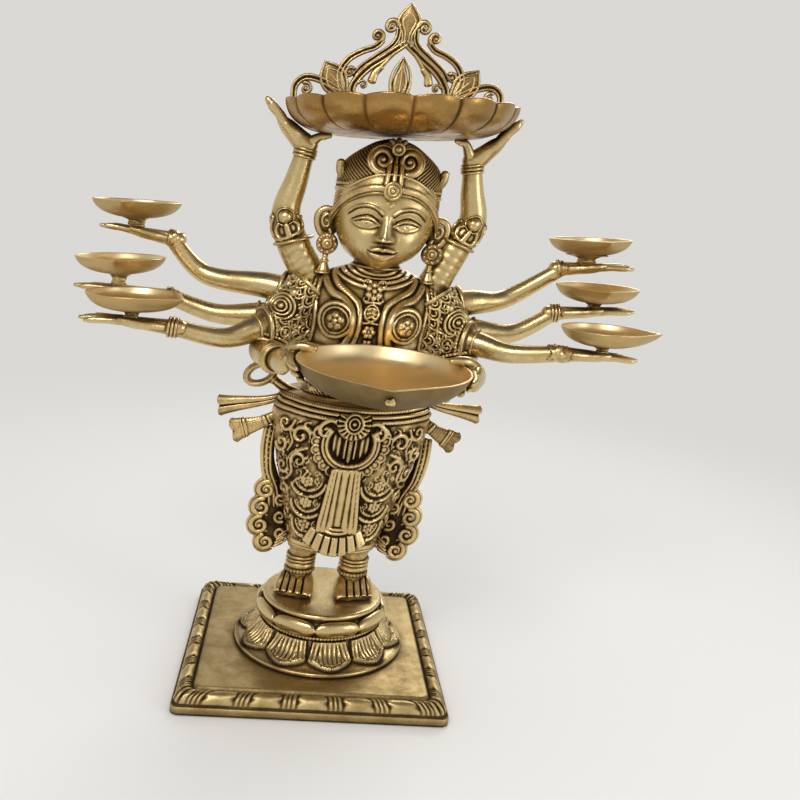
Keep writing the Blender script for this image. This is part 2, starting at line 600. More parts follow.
def make_skirt():
    tall = SKIRT_HIGH - SKIRT_LOW
    shape = [(0, 41, 0.8), (0.03, 42, 0.8), (0.25, 50.5, 0.76), (0.5, 61, 0.7), (0.72, 69, 0.68), (0.86, 73, 0.68),
             (0.95, 68, 0.68), (1, 63, 0.64)]
    points, S, Z = body_net([(SKIRT_LOW + tall * t, w, w * d, w * d) for t, w, d in shape], 200, 500, 2.2)
    low = np.clip((SKIRT_HIGH - Z) / tall, 0, 1)
    dip = 6.5 * low ** 1.2 * np.exp(-(points[..., 0] / 10) ** 2)
    points[..., 1] -= np.sign(points[..., 1]) * np.where(points[..., 1] < 0, dip, dip * 0.7)
    h = np.zeros(S.shape)
    girth = np.abs(S).max(1, keepdims=True)
    rng = np.random.default_rng(7)
    for _ in range(230):
        x, z = rng.uniform(-90, 90), rng.uniform(58, 176)
        a = rng.uniform(0, 360)
        size = rng.uniform(2.2, 3.8)
        cord(h, S, Z, curl(x, z, size, a, rng.choice([-0.8, 0.8]), 0.3, 14), 0.85, 1.0, 0.6)
    for _ in range(160):
        bead(h, S, Z, rng.uniform(-90, 90), rng.uniform(58, 176), rng.uniform(0.9, 1.5), 1.0)
    h *= np.abs(S) < girth * 0.56

    for side in (-1, 1):
        # crescent swags, each with a flower and two curls
        for k, (z, reach, start, end) in enumerate(((119, 17, 188, 340), (98, 16.5, 182, 352), (76, 14.5, 176, 366))):
            x = 32 - 1.6 * k
            region = (np.hypot(side * S - x, (Z - z - 3) * 1.05) < reach * 0.95) & (Z < z + 7)
            h[region] = np.minimum(h[region], 0.1)
            cords(h, S, Z, side,
                  (arc(x, z + 3, reach, start, end, 0.98), 2.0, 2.5, 0.7),
                  (arc(x, z + 4.5, reach - 4.0, start + 6, end - 6, 0.95), 1.0, 1.6))
            flower(h, S, Z, side * (x + 1), z + 1.5, 6.2, 6, 1.8, 0, 0.4)
            for lean in (-1, 1):
                drop = curve((x + lean * 2, z - 6.5), (x + lean * 6, z - 5), (x + lean * 9, z - 1), count=10)
                cords(h, S, Z, side, (drop, 1.0, 1.5, 0.4),
                      (curl(x + lean * 8.6, z + 2.5, 3.2, 90, lean * 1.1, 0.2, 16), 0.9, 1.5, 0.6))
        # leaves and vines beside the panel
        for x, z, size, lean, up, rise in (
                (45, 163, 10.5, 1, 1, 2.8), (66, 152, 9.0, -1, -1, 2.6), (63, 172, 7.5, 1, -1, 2.4),
                (44, 139, 8.0, -1, 1, 2.4), (62, 130, 7.5, 1, -1, 2.2), (57, 106, 7.0, -1, 1, 2.0),
                (52, 84, 6.5, 1, -1, 2.0)):
            scroll_leaf(h, S, Z, side * x, z, size, side * lean, up, rise)
        cords(h, S, Z, side,
              (curve((38, 152), (47, 147), (52, 138), (50, 126), (56, 118), (66, 116), count=30), 1.5, 2.2, 0.8),
              (curve((43, 151), (51, 146), (56, 137), (55, 128), (60, 122), count=26), 1.0, 1.6, 0.8),
              (curve((34, 130), (38, 124), (44, 120), (49, 112), count=20), 1.3, 2.0, 0.7),
              (curve((53, 176), (56, 166), (53, 156), (57, 146), count=20), 1.4, 2.0, 0.8))

    # garland with its scallops, and the sunk field inside it
    middle = 160
    away = np.hypot(S, Z - middle)
    h = np.where((away < 20) & (Z < 177), -2.6 + 0.5 * np.cos(S * TAU / 5.0), h)
    h = np.where((away >= 20) & (away < 36) & (Z < 172), np.minimum(h, 0.1), h)
    for a in range(163, 392, 16):
        x, z = 30.5 * math.cos(math.radians(a)), middle + 29.5 * math.sin(math.radians(a))
        bead(h, S, Z, x, z, 3.4, 1.5)
        cord(h, S, Z, arc(x, z, 4.1, a - 125, a + 125, count=20), 1.0, 2.4)
    for radius, wire, rise in ((21.2, 1.7, 3.0), (24.6, 1.5, 2.7)):
        cord(h, S, Z, arc(0, middle, radius, 148, 392, count=46), wire, rise)
    cord(h, S, Z, [(0, 178), (0, 143.5)], 2.1, 2.6, 1.0, -1.2, 3.0, 0.7)
    hook = np.concatenate([curve((10, 176), (15, 180), (21, 181), (27, 177), count=12),
                           curl(23, 171.5, 6.6, 55, -1.0, 0.3, 20)])
    for side in (-1, 1):
        cords(h, S, Z, side, ([(4.3, 178), (4.3, 146)], 1.0, 2.0, 1.0, -1.4), (hook, 2.7, 3.3, 0.65),
              (curve((28, 176), (33, 172), (34, 165), count=10), 1.6, 2.4, 0.5))

    # pleated panel
    inside = np.clip((136 - Z) / 52, 0, 1)
    half = 13.2 + 4.6 * inside
    share = np.abs(S) / half
    dome = lambda middle, reach: np.cos(np.clip((share - middle) / reach, -1, 1) * 1.45) ** 0.5
    ribs = np.select([share < 0.30, share < 0.62, share < 0.82], [dome(0, 0.30), dome(0.46, 0.16), dome(0.72, 0.1)],
                     dome(0.91, 0.09))
    h = np.where((np.abs(S) < half) & (Z < 136) & (Z > 74), 2.6 + 1.9 * ribs + 2.5 * inside, h)

    # belts, rosette and hem
    level = Z + 2.5 * np.cos(np.clip(S / 60, -1, 1) * TAU / 4)
    for z, wide, rise, hatch in ((192.6, 2.0, 2.6, 1), (188.2, 1.9, 2.4, 0), (183.9, 1.9, 2.4, 1)):
        notch = 1 - 0.3 * hatch * (0.5 + 0.5 * np.cos(TAU * (S + 0.8 * (level - z)) / 2.6)) ** 2
        h = strand(h, level, z, wide, rise, notch, 0.4)
    h = np.where(level > 194.6, 0.9, h)
    h = np.where((level > 181.4) & (level < 194.8), np.maximum(h, 0.0), h)
    middle = 179.5
    polar = np.degrees(np.arctan2(Z - middle, S)) % 360
    reach = np.hypot(S, Z - middle)
    fringe = (reach > 8.5) & (reach < 15.5) & ((polar > 150) | (polar < 30))
    petal = np.abs(np.cos(np.radians(polar) * 9.5)) ** 0.6
    tip = np.clip((15.5 - reach - 2.2 * (1 - petal)) / 1.5, 0, 1) ** 0.5
    h = np.where(fringe, np.maximum(0.6, 3.4 * petal * tip), h)
    h = np.where(reach < 8.8, 2.4, h)
    for radius, half in ((7.6, 1.3), (4.4, 1.0)):
        cord(h, S, Z, arc(0, middle, radius, 0, 360, count=44), half, 2.0, 1.0, 2.2)
    bead(h, S, Z, 0, middle, 2.0, 1.8, 2.4)
    rim, hem = Z - SKIRT_LOW, 8.5
    h = np.where((rim < hem) & (h < 2), 0.7 + 0.9 * np.abs(np.cos(rim * math.pi / 2.9)) ** 0.7, h)
    fold = (1 + np.cos(S * TAU / 13.5 + 0.25 * np.sin(Z / 17))) * 0.8
    blend = (np.clip((np.abs(S) - girth * 0.54) / 6, 0, 1) * np.clip((180 - Z) / 6, 0, 1)
             * np.clip((rim - hem) / 2, 0, 1))
    h = (h * (1 - blend) + blend * fold) * np.clip(rim / 1.2, 0.2, 1)
    parts = [carved_net(points, h, depth=0.85)]

    # the fan under the panel, a stiff pleated end that stands off the hem
    across, down = np.meshgrid(np.linspace(-1, 1, 97), np.linspace(0, 1, 34))
    bow = 1 - across ** 2
    fan = np.stack([across * (17.5 + 13.5 * down ** 0.9) * (1 - 0.05 * down),
                    -31 - 9.0 * bow - 3.5 * down,
                    85 - 3.5 * bow - down * (20.5 + 6.5 * bow) - 1.5 * bow], -1)
    lobes = np.clip(2.4 * np.abs(np.sin(across * math.pi * 3.5 + math.pi / 2)) - 0.2, 0, 1)
    height = 2.0 * lobes * np.clip((down - 0.34) / 0.05, 0, 1)
    for place, rise in ((0.1, 1.8), (0.24, 1.8), (0.94, 1.2)):
        height = np.maximum(height, rise * ridge_of((down - place) / 0.065))
    normal = np.cross(np.gradient(fan, axis=1), -np.gradient(fan, axis=0))
    normal /= np.linalg.norm(normal, axis=2, keepdims=True)
    strip = np.concatenate([fan + normal * height[..., None], (fan - normal * 3.2)[:, ::-1]], axis=1)[::-1]
    dark = np.clip((soften(height, 2, False) - height) / 0.6, -0.2, 1)
    parts.append(net(strip, np.concatenate([dark, np.full(dark.shape, 0.5)], 1)[::-1]))

    # legs with their anklets, and the feet
    for side in (-1, 1):
        x = side * 25.5
        parts.append(tube([(x, 4, 9), (x, 4, 22), (x, 3.5, 36), (x, 3, 49), (x, 3, 62)], (13.6, 11.9, 12.0, 13.2, 14),
                          (14.6, 12.4, 12.6, 13.6, 14), steps=44, around=48, carve=0.1))
        for z, wire, grow, ribs in ((50.5, 1.4, 1.925, 0), (47.5, 1.4, 1.775, 0), (44.6, 1.3, 1.63, 0),
                                    (34.2, 1.5, 1.11, 0), (30.6, 1.5, 0.93, 0), (26.0, 3.0, -0.4, 0),
                                    (20.4, 2.3, 0.42, 26)):
            parts.append(hoop((x, 4, z), (0, 0, 1), 11.9 + grow, 12.4 + grow, wire, 104 if ribs else 56, ribs, 1.1))
        foot = sweep([(0, 22.5, 7), (0, 20, 8), (0, 11, 9.2), (0, 1, 9.8), (0, -8, 7.8), (0, -16, 5.2),
                      (0, -22.2, 3.7), (0, -23.6, 3.3)], (5, 9, 13.4, 16.2, 17.4, 17.8, 17.4, 16.2),
                     (5, 8, 9.2, 9.4, 7.6, 5.2, 3.7, 2.7), hint=(0, 0, 1), steps=130, around=220, blunt=False)
        centre = foot.mean(1, keepdims=True)
        off = foot - centre
        share = np.abs(off[..., [0, 2]]) / np.abs(off[..., [0, 2]]).max(1, keepdims=True)
        foot = centre + off * ((share ** 3.4).sum(2) ** (-1 / 3.4) * np.sqrt((share ** 2).sum(2)))[..., None]
        x, y, z = foot[..., 0] * side, foot[..., 1], foot[..., 2]
        near = np.min([np.abs(x - slit * np.clip(0.86 - y / 150, 0.8, 1)) for slit in (-8.4, -1.2, 5.6, 12.0)],
                      axis=0)
        toes = np.clip((1 - y) / 3, 0, 1) * np.clip((z - 1) / 2, 0, 1)
        relief = toes * (0.8 * (1 - np.exp(-(near / 2.2) ** 2)) - 2.0 * np.exp(-(near / 0.65) ** 2))
        tips = np.clip((-10 - y) / 12, 0, 1)
        foot[..., 1] += tips * (4.5 * np.clip((x + 8) / 26, 0, 1) ** 1.4 + 1.2 * np.exp(-(near / 1.1) ** 2))
        x, y, z = np.moveaxis(raised(foot, relief), -1, 0)
        c, s = math.cos(side * 0.12), math.sin(side * 0.12)
        foot = np.stack([side * 27 + x * c - y * s, x * s + y * c, np.maximum(z, 0)], -1)
        parts.append(net(foot, np.clip((soften(relief, 3) - relief) / 0.9 - 0.26, -0.25, 1)))
        parts.append(tube([(side * 25.8, 6, 8), (side * 25.6, 5, 15), (side * 25.5, 4, 24)], (13.4, 12.6, 11.8),
                          (14.5, 12.6, 12.2), steps=14, around=40))
    return placed(parts)


add_piece("skirt_legs_feet_casting", make_skirt(), "skirt_legs_and_feet", antique_brass)

# The torso in its blouse, cast by itself and set on the skirt with a plug.
# Necklaces, two long garlands, a chain of rosettes and two round bosses are chased on its front.
TORSO_LOW, TORSO_HIGH = 196.3, 312.0


def make_torso():
    tall = TORSO_HIGH - TORSO_LOW
    shape = [(0, 49, 0.62, 0.62), (0.12, 45, 0.62, 0.62), (0.32, 47, 0.62, 0.62), (0.52, 54, 0.62, 0.533),
             (0.7, 60, 0.521, 0.496), (0.84, 62, 0.41, 0.434), (0.93, 44.6, 0.41, 0.434), (1, 23, 0.93, 0.93)]
    points, S, Z = body_net([(TORSO_LOW + tall * t, w, w * f, w * b) for t, w, f, b in shape], 170, 440, 2.3)
    X = points[..., 0]
    front = points[..., 1] < 0
    breast_x, breast_z = 31, 268
    out = np.hypot(np.abs(X) - 27, Z - breast_z) / 21
    points[..., 1] -= np.where(front, 19 * np.exp(-(out ** 2) * 1.3), 0)
    h = np.where((Z > 240) & front, 0.22 * np.cos((S + Z) * TAU / 3.4) * np.cos((S - Z) * TAU / 3.4), 0)

    for side in (-1, 1):
        for shift, half, pitch in ((0, 1.9, 0), (4.4, 1.7, 3.0), (8.4, 1.6, 0)):
            seam = curve((43 + shift, 311), (48 + shift, 298), (50.5 + shift, 283), (50 + shift, 264),
                         (54 + shift, 246), count=30)
            cords(h, S, Z, side, (seam, half, 2.2, 1.0, 0.0, pitch, 0.4))
        # boss on the breast
        x, z = side * breast_x, breast_z
        h = np.where(np.hypot(S - x, Z - z) < 16.5, 0.15, h)
        cord(h, S, Z, arc(x, z, 14.2, 0, 360, count=44), 1.7, 2.1)
        cord(h, S, Z, arc(x, z, 10.8, 0, 360, count=44), 0.9, 1.3)
        bead(h, S, Z, x, z, 8.8, 1.1)
        flower(h, S, Z, x, z, 7.6, 5, 1.6, 0.7, 0.3)
        cord(h, S, Z, arc(x, z, 5.0, 20, 160, 1.0, 14), 0.7, 2.2, 1.0, 0.3)
        # garlands beside the chain
        inner = curve((39, 309), (32, 297), (21, 289.5), (12.5, 282), (10.2, 270), (11, 256), (14, 243), count=46)
        outer = curve((46, 304), (37, 291), (25, 285.5), (18.2, 277), (16.2, 266), (17.5, 254), (21, 243), count=46)
        for path, half in ((inner, 2.7), (outer, 3.2)):
            cords(h, S, Z, side, (path, half + 1.0, 0.9), (path, half, 2.5, 1.0, 0.2, 2.4, 0.16))

    # chain of rosettes down the middle
    chain = (np.abs(S) < 8.4 + 0.004 * (Z - 262) ** 2) & (Z > 242) & (Z < 288) & front
    h = np.where(chain, np.minimum(h, -0.9), h)
    h = np.where((np.hypot(S, Z - 293.5) < 10) & front, -0.3, h)
    for side in (-1, 1):
        cords(h, S, Z, side, (curl(7.5, 299, 5.2, 230, -0.9, 0.25, 20), 1.3, 2.6, 0.6),
              (curl(7.2, 287.5, 3.6, 120, 0.8, 0.3, 16), 1.0, 2.0, 0.6))
    bead(h, S, Z, 0, 275.5, 6.6, 2.4)
    for z in (272.0, 275.5, 279.0):
        cord(h, S, Z, arc(0, z - 7, 7.5, 58, 122, 1.0, 10), 1.05, 1.5, 1.0, 1.8)
    cord(h, S, Z, arc(0, 275.5, 6.8, 0, 360, 1.0, 30), 1.0, 2.6)
    for z in (284.3, 267.3):
        cord(h, S, Z, [(-6.5, z), (6.5, z)], 1.1, 2.2)
    for z, radius, rise, turn in ((293.5, 8.6, 3.0, TAU / 12), (259.5, 6.4, 2.6, 0), (247.5, 5.4, 2.4, 0)):
        flower(h, S, Z, 0, z, radius, 6, rise, 0.0, turn)

    # necklaces: strands that hang round the neck and lie on the chest
    level = np.where(front, np.hypot(X / 1.62, Z - 323), np.hypot(X / 1.5, Z - 327))
    beads = 1 - 0.35 * (0.5 + 0.5 * np.cos(np.arctan2(X, Z - 323) * 74))
    for radius, half, rise, notch in ((14.5, 1.6, 2.0, 1), (18.3, 1.7, 2.2, 1), (22.3, 1.9, 2.3, beads),
                                      (26.6, 1.5, 1.9, 1)):
        h = strand(h, level, radius, half, rise, notch, where=Z > 284)

    # blouse hem, the plain belly with its navel, and the twisted waist band
    h = np.maximum(h, 0)
    for z, half, rise in ((242.2, 1.5, 2.0), (238.8, 1.1, 1.4)):
        h = strand(h, Z, z, half, rise)
    navel = np.hypot(S, (Z - 217) * 0.8)
    h = np.where(front, h - 2.2 * np.exp(-(navel / 2.6) ** 2) + 0.5 * np.exp(-((navel - 4.6) / 1.6) ** 2), h)
    h = strand(np.maximum(h, 0), Z, 206.0, 1.2, 1.4)
    twist = 1 - 0.6 * (0.5 + 0.5 * np.cos(TAU * (S + 1.1 * (Z - 200.4)) / 4.0)) ** 2
    return placed([carved_net(points, strand(h, Z, 200.4, 3.6, 2.8, twist))])


add_piece("torso_casting", make_torso(), "torso", antique_brass)

# The head with its neck and ears, cast in one, its skin filed smooth and rubbed bright.
# The face is calm, with lowered lids and closed lips; the ears curl like shells.
CHIN, SKULL_TOP, HEAD_WIDE, HEAD_DEEP, HEAD_Y = 315, 398, 90, 84, -3


def make_head():
    tall = SKULL_TOP - CHIN
    w, d = HEAD_WIDE / 2, HEAD_DEEP / 2
    shape = [(0.005, 0.16, 0.42, 0.05), (0.03, 0.36, 0.66, 0.3), (0.09, 0.56, 0.82, 0.52), (0.18, 0.73, 0.89, 0.7),
             (0.34, 0.9, 0.93, 0.92), (0.52, 1.0, 0.95, 1.0), (0.68, 1.02, 0.96, 1.02), (0.82, 0.98, 0.93, 1.0),
             (0.93, 0.88, 0.82, 0.9), (1.0, 0.72, 0.64, 0.72)]
    points, S, Z = body_net([(CHIN + tall * t, w * a, d * f, d * b) for t, a, f, b in shape], 200, 330, 2.15, HEAD_Y)
    X = points[..., 0]
    fade = np.clip((HEAD_Y - 6 - points[..., 1]) / 12, 0, 1)
    h = np.zeros(S.shape)
    away = lambda x, z, a, b: np.exp(-((np.abs(X) - x) / a) ** 2 - ((Z - z) / b) ** 2)
    brow, eye, nose, mouth = 361.0, 352.5, 338.0, 329.3
    h += 2.0 * away(25, 336, 13, 12) - 2.9 * away(17.5, eye, 11.5, 7.0) + 1.0 * away(16, brow + 4, 17, 4.5)
    h += 3.2 * np.exp(-(X / 9) ** 2 - ((Z - 319) / 6.5) ** 2) + 2.0 * np.exp(-(X / 15) ** 2 - ((Z - mouth) / 8) ** 2)
    share = np.clip((brow - 1 - Z) / (brow - 1 - nose - 2), 0, 1)
    under = np.where(Z < nose + 2, np.exp(-(((Z - nose - 2) / 1.9) ** 2)), 1)
    bridge = np.exp(-(np.abs(X) / (3.4 + 2.0 * share)) ** 2.6)
    h += (1.6 + 9.4 * share ** 1.25) * np.clip((brow + 4 - Z) / 8, 0, 1) * under * bridge
    wing = np.where(np.abs(Z - nose - 2.6) < 12, 1.0, 0)
    h += wing * 4.4 * away(6.3, nose + 2.8, 3.1, 3.4) * np.where(Z < nose - 0.6, 0.25, 1)
    h -= 1.6 * away(3.4, nose - 0.6, 1.7, 1.0)
    slant = 0.2 * np.clip((np.abs(X) - 17) / 12, -1, 1)
    h += 3.0 * np.clip(1 - (((np.abs(X) - 17.3) / 11.3) ** 2 + ((Z - eye - slant) / 4.9) ** 2), 0, 1) ** 0.6
    dark = np.zeros(S.shape)
    for side in (-1, 1):
        ridge = np.zeros(S.shape)
        cords(ridge, X, Z, side,
              (curve((6.8, eye - 1.2), (11, eye + 3.0), (17.5, eye + 4.8), (24, eye + 3.4), (29.6, eye + 0.2),
                     count=28), 1.35, 1.5),
              (curve((6.8, eye - 1.2), (12, eye - 3.9), (18, eye - 4.6), (24.5, eye - 3.0), (29.6, eye + 0.2),
                     count=28), 0.9, 1.0),
              (curve((8.5, eye + 4.6), (17.5, eye + 8.0), (28.5, eye + 3.6), count=22), 0.75, 0.7),
              (curve((5.2, brow), (11, brow + 4.6), (18.5, brow + 6.2), (26.5, brow + 4.4), (33, brow - 1.2),
                     count=28), 1.5, 1.3, 0.5),
              (arc(17.2, eye + 0.6, 3.3, 200, 340, 1.0, 14), 0.4, 0.5))
        h += ridge * fade
        for path, half, deep in (
                (((5, brow - 2.3), (11, brow + 2.4), (18.5, brow + 3.9), (26.5, brow + 2.2), (33.5, brow - 3.2)),
                 0.55, 0.6),
                (((7.2, eye + 1.2), (11.5, eye + 5.2), (17.5, eye + 6.6), (25, eye + 5.0), (30.6, eye + 1.4)),
                 0.5, 0.7),
                (((7.2, eye - 0.6), (12, eye + 1.2), (17.5, eye + 2.2), (24, eye + 1.4), (29, eye + 0.2)), 0.5, 0.8)):
            line = np.zeros(S.shape)
            cords(line, X, Z, side, (curve(*path, count=26), half, 1.0))
            h -= deep * line * fade
            dark += 0.8 * line
        bead(dark, X, Z, side * 17.2, eye - 0.6, 0.8, 0.6)
    lips, seam_line, mark = np.zeros((3, *S.shape))
    cord(lips, X, Z, curve((-11.4, mouth + 0.9), (-6, mouth + 2.4), (-2.2, mouth + 3.0), (0, mouth + 2.3),
                           (2.2, mouth + 3.0), (6, mouth + 2.4), (11.4, mouth + 0.9), count=40), 1.9, 2.4)
    cord(lips, X, Z, curve((-9.5, mouth - 0.6), (-5, mouth - 2.6), (0, mouth - 3.3), (5, mouth - 2.6),
                           (9.5, mouth - 0.6), count=36), 2.3, 2.7)
    h += lips * fade * np.clip(1 - (np.abs(X) - 8.5) / 5, 0.25, 1)
    cord(seam_line, X, Z, curve((-12.2, mouth + 1.3), (-6, mouth - 0.1), (0, mouth - 0.3), (6, mouth - 0.1),
                                (12.2, mouth + 1.3), count=36), 0.55, 1.0)
    h -= 1.3 * seam_line * fade
    dark += 0.8 * seam_line
    h -= 0.7 * np.exp(-(X / 1.3) ** 2 - ((Z - 334.3) / 1.8) ** 2)
    cord(mark, X, Z, curve((0, 374.2), (2.1, 369.2), (0, 367.2), (-2.1, 369.2), (0, 374.2), count=22), 0.55, 0.8)
    h += mark
    hair = ((points[..., 1] >= HEAD_Y) | (np.abs(X) > 41)) & (Z > 338)
    h = np.where(hair, h + 0.55 * np.cos((Z + 0.35 * np.abs(S)) * TAU / 3.4), h)
    marks = np.clip((soften(h, 2) - h) / 0.9, -0.2, 1) * 0.75 + np.clip(dark, 0, 1) * fade
    parts = [net(raised(points, h), marks)]

    neck = sweep([(0, 2, 311), (0, 1.6, 318), (0, 1, 326), (0, 0, 334)], (23, 20.6, 20.4, 22), steps=30, around=90,
                 blunt=False)
    ring = neck[..., 2]
    folds = -0.55 * np.exp(-((ring - 320.5) / 0.7) ** 2) - 0.55 * np.exp(-((ring - 325.5) / 0.7) ** 2)
    parts.append(carved_net(neck, folds + 1.9 * ridge_of((ring - 313.6) / 1.5), cells=2, depth=0.7, base=0.1))

    # ears: a plate, its rolled rim and a swirl inside it
    for side in (-1, 1):
        x0 = side * 50.0
        plate = [(x0 - side * 8, 4, 345), (x0 - side * 3, 2, 347), (x0 + side * 1.5, 1, 348)]
        parts.append(tube(plate, (10.5, 11.2, 9.0), (4.2, 3.6, 3.0), steps=14, around=30, carve=0.5))
        helix = ((-7, 9.5), (-3, 12.6), (3.2, 12.4), (7.4, 8), (8, 1.5), (6, -4.5), (2.4, -9.3), (-2.6, -11),
                 (-5.5, -8.4), (-4.2, -5.2))
        swirl = ((-5, 6.2), (-0.5, 8), (3.2, 5), (3, 0.4), (0.2, -2.6), (-2.6, -1.4), (-2.2, 2.2), (0, 2.6))
        for run, y, girth, steps, around in ((helix, -0.5, (2.4, 2.9, 3.1, 3.2, 3.1, 3, 3, 2.9, 2.5, 1.8), 60, 16),
                                             (swirl, -1.2, (1.5, 1.8, 1.9, 1.8, 1.7, 1.5, 1.3, 0.9), 44, 14)):
            parts.append(tube([(x0 + side * p, y, 347 + q) for p, q in run], girth, steps=steps, around=around))
    return placed(parts)


add_piece("head_casting", make_head(), "head", satin_brass)

# The crown: a headband with a ringed jewel, combed hair under it, two large scrolls and a bud.
# It is cast on its own and brazed over the brow.


def turned(profile, middle, axis="z", around=40, lobes=0, depth=0.0):
    """A part turned about an axis from pairs of radius and height, its edge waved into lobes."""
    a = np.linspace(0, TAU, around, endpoint=False)
    r, z = np.array(profile, float).T[..., None]
    r = r * (1 + depth * np.cos(lobes * a))
    u, v, w = r * np.cos(a), r * np.sin(a), z + 0 * a
    return net(np.stack((u, v, w) if axis == "z" else (u, -w, v), -1) + np.array(middle, float))


def ball(x, y, z, radius, around):
    """A small round ball."""
    t = np.linspace(0.12, TAU / 2 - 0.12, 11)
    return turned([(radius * math.sin(a), -radius * math.cos(a)) for a in t], (x, y, z), "z", around)


def make_crown():
    low, high = 376.0, 424.0
    tall = high - low
    w, d = 46, 43
    shape = [(0, 0.97, 0.94), (0.16, 1.0, 0.95), (0.36, 0.985, 0.88), (0.55, 0.9, 0.75), (0.70, 0.74, 0.6),
             (0.84, 0.54, 0.45), (0.94, 0.36, 0.3), (1, 0.16, 0.14)]
    points, S, Z = body_net([(low + tall * t, w * a, d * b, d * b) for t, a, b in shape], 90, 400, 2.0, -1)
    brow_band = 393.5 - 0.0088 * S ** 2
    h = 0.75 * np.cos((np.abs(S) * 0.75 - (Z - low) * 0.9) * TAU / 3.1) * np.clip((Z - brow_band) / 2, 0, 1)
    for z, half, rise in ((low + 2.5, 2.2, 2.2), (low + 7.0, 1.3, 1.3)):
        h = strand(h, Z, z, half, rise, where=np.abs(S) > 40)
    h = np.where((points[..., 1] < -1) & (Z < brow_band), 1.3, h)
    cord(h, S, Z, [(x, 393.5 - 0.0088 * x * x) for x in range(-44, 45, 4)], 1.2, 2.4)
    for x in (-6, 0, 6):
        cord(h, S, Z, [(x, 382), (x * 0.85, 400)], 2.1, 2.2, 1.0, 0.9)
    parts = [carved_net(points, h, cells=2)]

    # scrolls over the brow, knobs, and the rolled band down to the ears
    thinning = lambda start, end: np.interp(np.linspace(0, 1, 12), (0, 1), (start, end))
    lean_back = lambda path, y: [(side * p, y + 0.42 * (q - 404), q) for p, q in path]
    for side in (-1, 1):
        parts.append(tube(lean_back(curl(11.2, 405.5, 10.6, -95, 1.55, 0.14, 40), -31.5), thinning(3.6, 1.9),
                          thinning(4.2, 3.0), hint=(0, 1, 0.4), steps=90, around=18))
        parts.append(tube(lean_back(curl(11.2, 405.5, 12.4, -100, 0.85, 0.9, 40), -33.2), (1.4, 1.4, 1.3, 1.1),
                          hint=(0, 1, 0.4), steps=60, around=12))
        parts.append(ball(side * 11.2, -33.5, 405.5, 2.4, 14))
        knob = [(side * 39, -10, 388), (side * 43.5, -12, 394), (side * 45.5, -13, 400)]
        parts.append(tube(knob, (5.6, 5.2, 3.8), (4.6, 4.2, 3.2), steps=12, around=22))
        parts.append(tube([(side * (41.5 + k), -15.8, 390 + 3.2 * k) for k in range(3)], (1.5, 1.6, 1.4), steps=10,
                          around=10, carve=0.1))
        band = [(side * p, y, q) for p, y, q in (
            (4, -44.2, 381.5), (12, -43.8, 382), (22, -40.2, 380), (32, -33, 374.6), (40, -23.5, 366.5),
            (45.2, -13, 357.5), (46.5, -5, 350))]
        edge = [(x - side * 0.3, y - 0.6, z - 4.3) for x, y, z in band]
        parts.append(tube(band, (3.2, 3.4, 3.5, 3.5, 3.3, 2.8, 2.0), (2.6, 2.8, 3.0, 3.0, 2.8, 2.4, 1.8),
                          hint=(0, -1, 0.2), steps=70, around=22))
        parts.append(tube(edge, (1.2, 1.3, 1.3, 1.3, 1.2, 1.0, 0.8), hint=(0, -1, 0.2), steps=70, around=12,
                          carve=0.15))

    # the ringed jewel, and the bud with its leaves
    disc = [(6, -2), (8.4, 0), (8.2, 2.6), (7.4, 3.9), (6.4, 4.0), (5.5, 3.0), (5.0, 3.2), (4.3, 4.3), (3.4, 4.2),
            (2.4, 3.2), (2.0, 3.6), (1.4, 4.5), (0.2, 4.6)]
    parts.append(turned(disc, (0, -43.6, 380.5), "-y", 48))
    bud = [(5.6, -6), (5.8, 1.0), (5.2, 2.2), (3.9, 2.4), (3.3, 1.3), (2.9, 1.3), (2.4, 2.6), (0.5, 3.4)]
    parts.append(turned(bud, (0, -34.5, 415.0), "-y", 36))
    for a in np.radians([20, 55, 90, 125, 160]):
        leaf = [(0, -26, 415), (9 * math.cos(a), -25, 415.5 + 7.4 * math.sin(a))]
        parts.append(tube(leaf, (3.4, 2.6), steps=8, around=12))
    return placed(parts)


add_piece("crown_casting", make_crown(), "crown", antique_brass)

# The bun of hair behind the head, wound in a spiral, with a ring of flowers and a knot at its end.
# It is a brass casting of its own, brazed to the back of the head.


def make_bun():
    y0, z0 = 48.6, 352
    t = np.linspace(0.04, 0.96, 60)[:, None] * TAU / 2
    a = np.linspace(0, TAU, 120, endpoint=False)
    r, y = 26 * np.sin(t), 22 * np.cos(t)
    points = np.stack([r * np.sin(a), y0 - y + 0 * a, z0 + 0.9 * r * np.cos(a)], -1)
    parts = [carved_net(points, 0.8 * np.cos(a * 14 + t * 7) * np.sin(t), cells=2)]
    for b in np.arange(14) * TAU / 14:
        parts.append(ball(17.5 * math.cos(b), y0 + 16.6, z0 + 15.8 * math.sin(b), 3.2, 12))
    parts.append(ball(0, y0 + 20.5, z0, 7.4, 24))
    return placed(parts)


add_piece("hair_bun_casting", make_bun(), "hair_bun", antique_brass)

# Two earrings: a flower boss of beads on each lobe, and a ribbed bell that hangs below it.
# Each is one brass casting, brazed to the lobe of the ear.


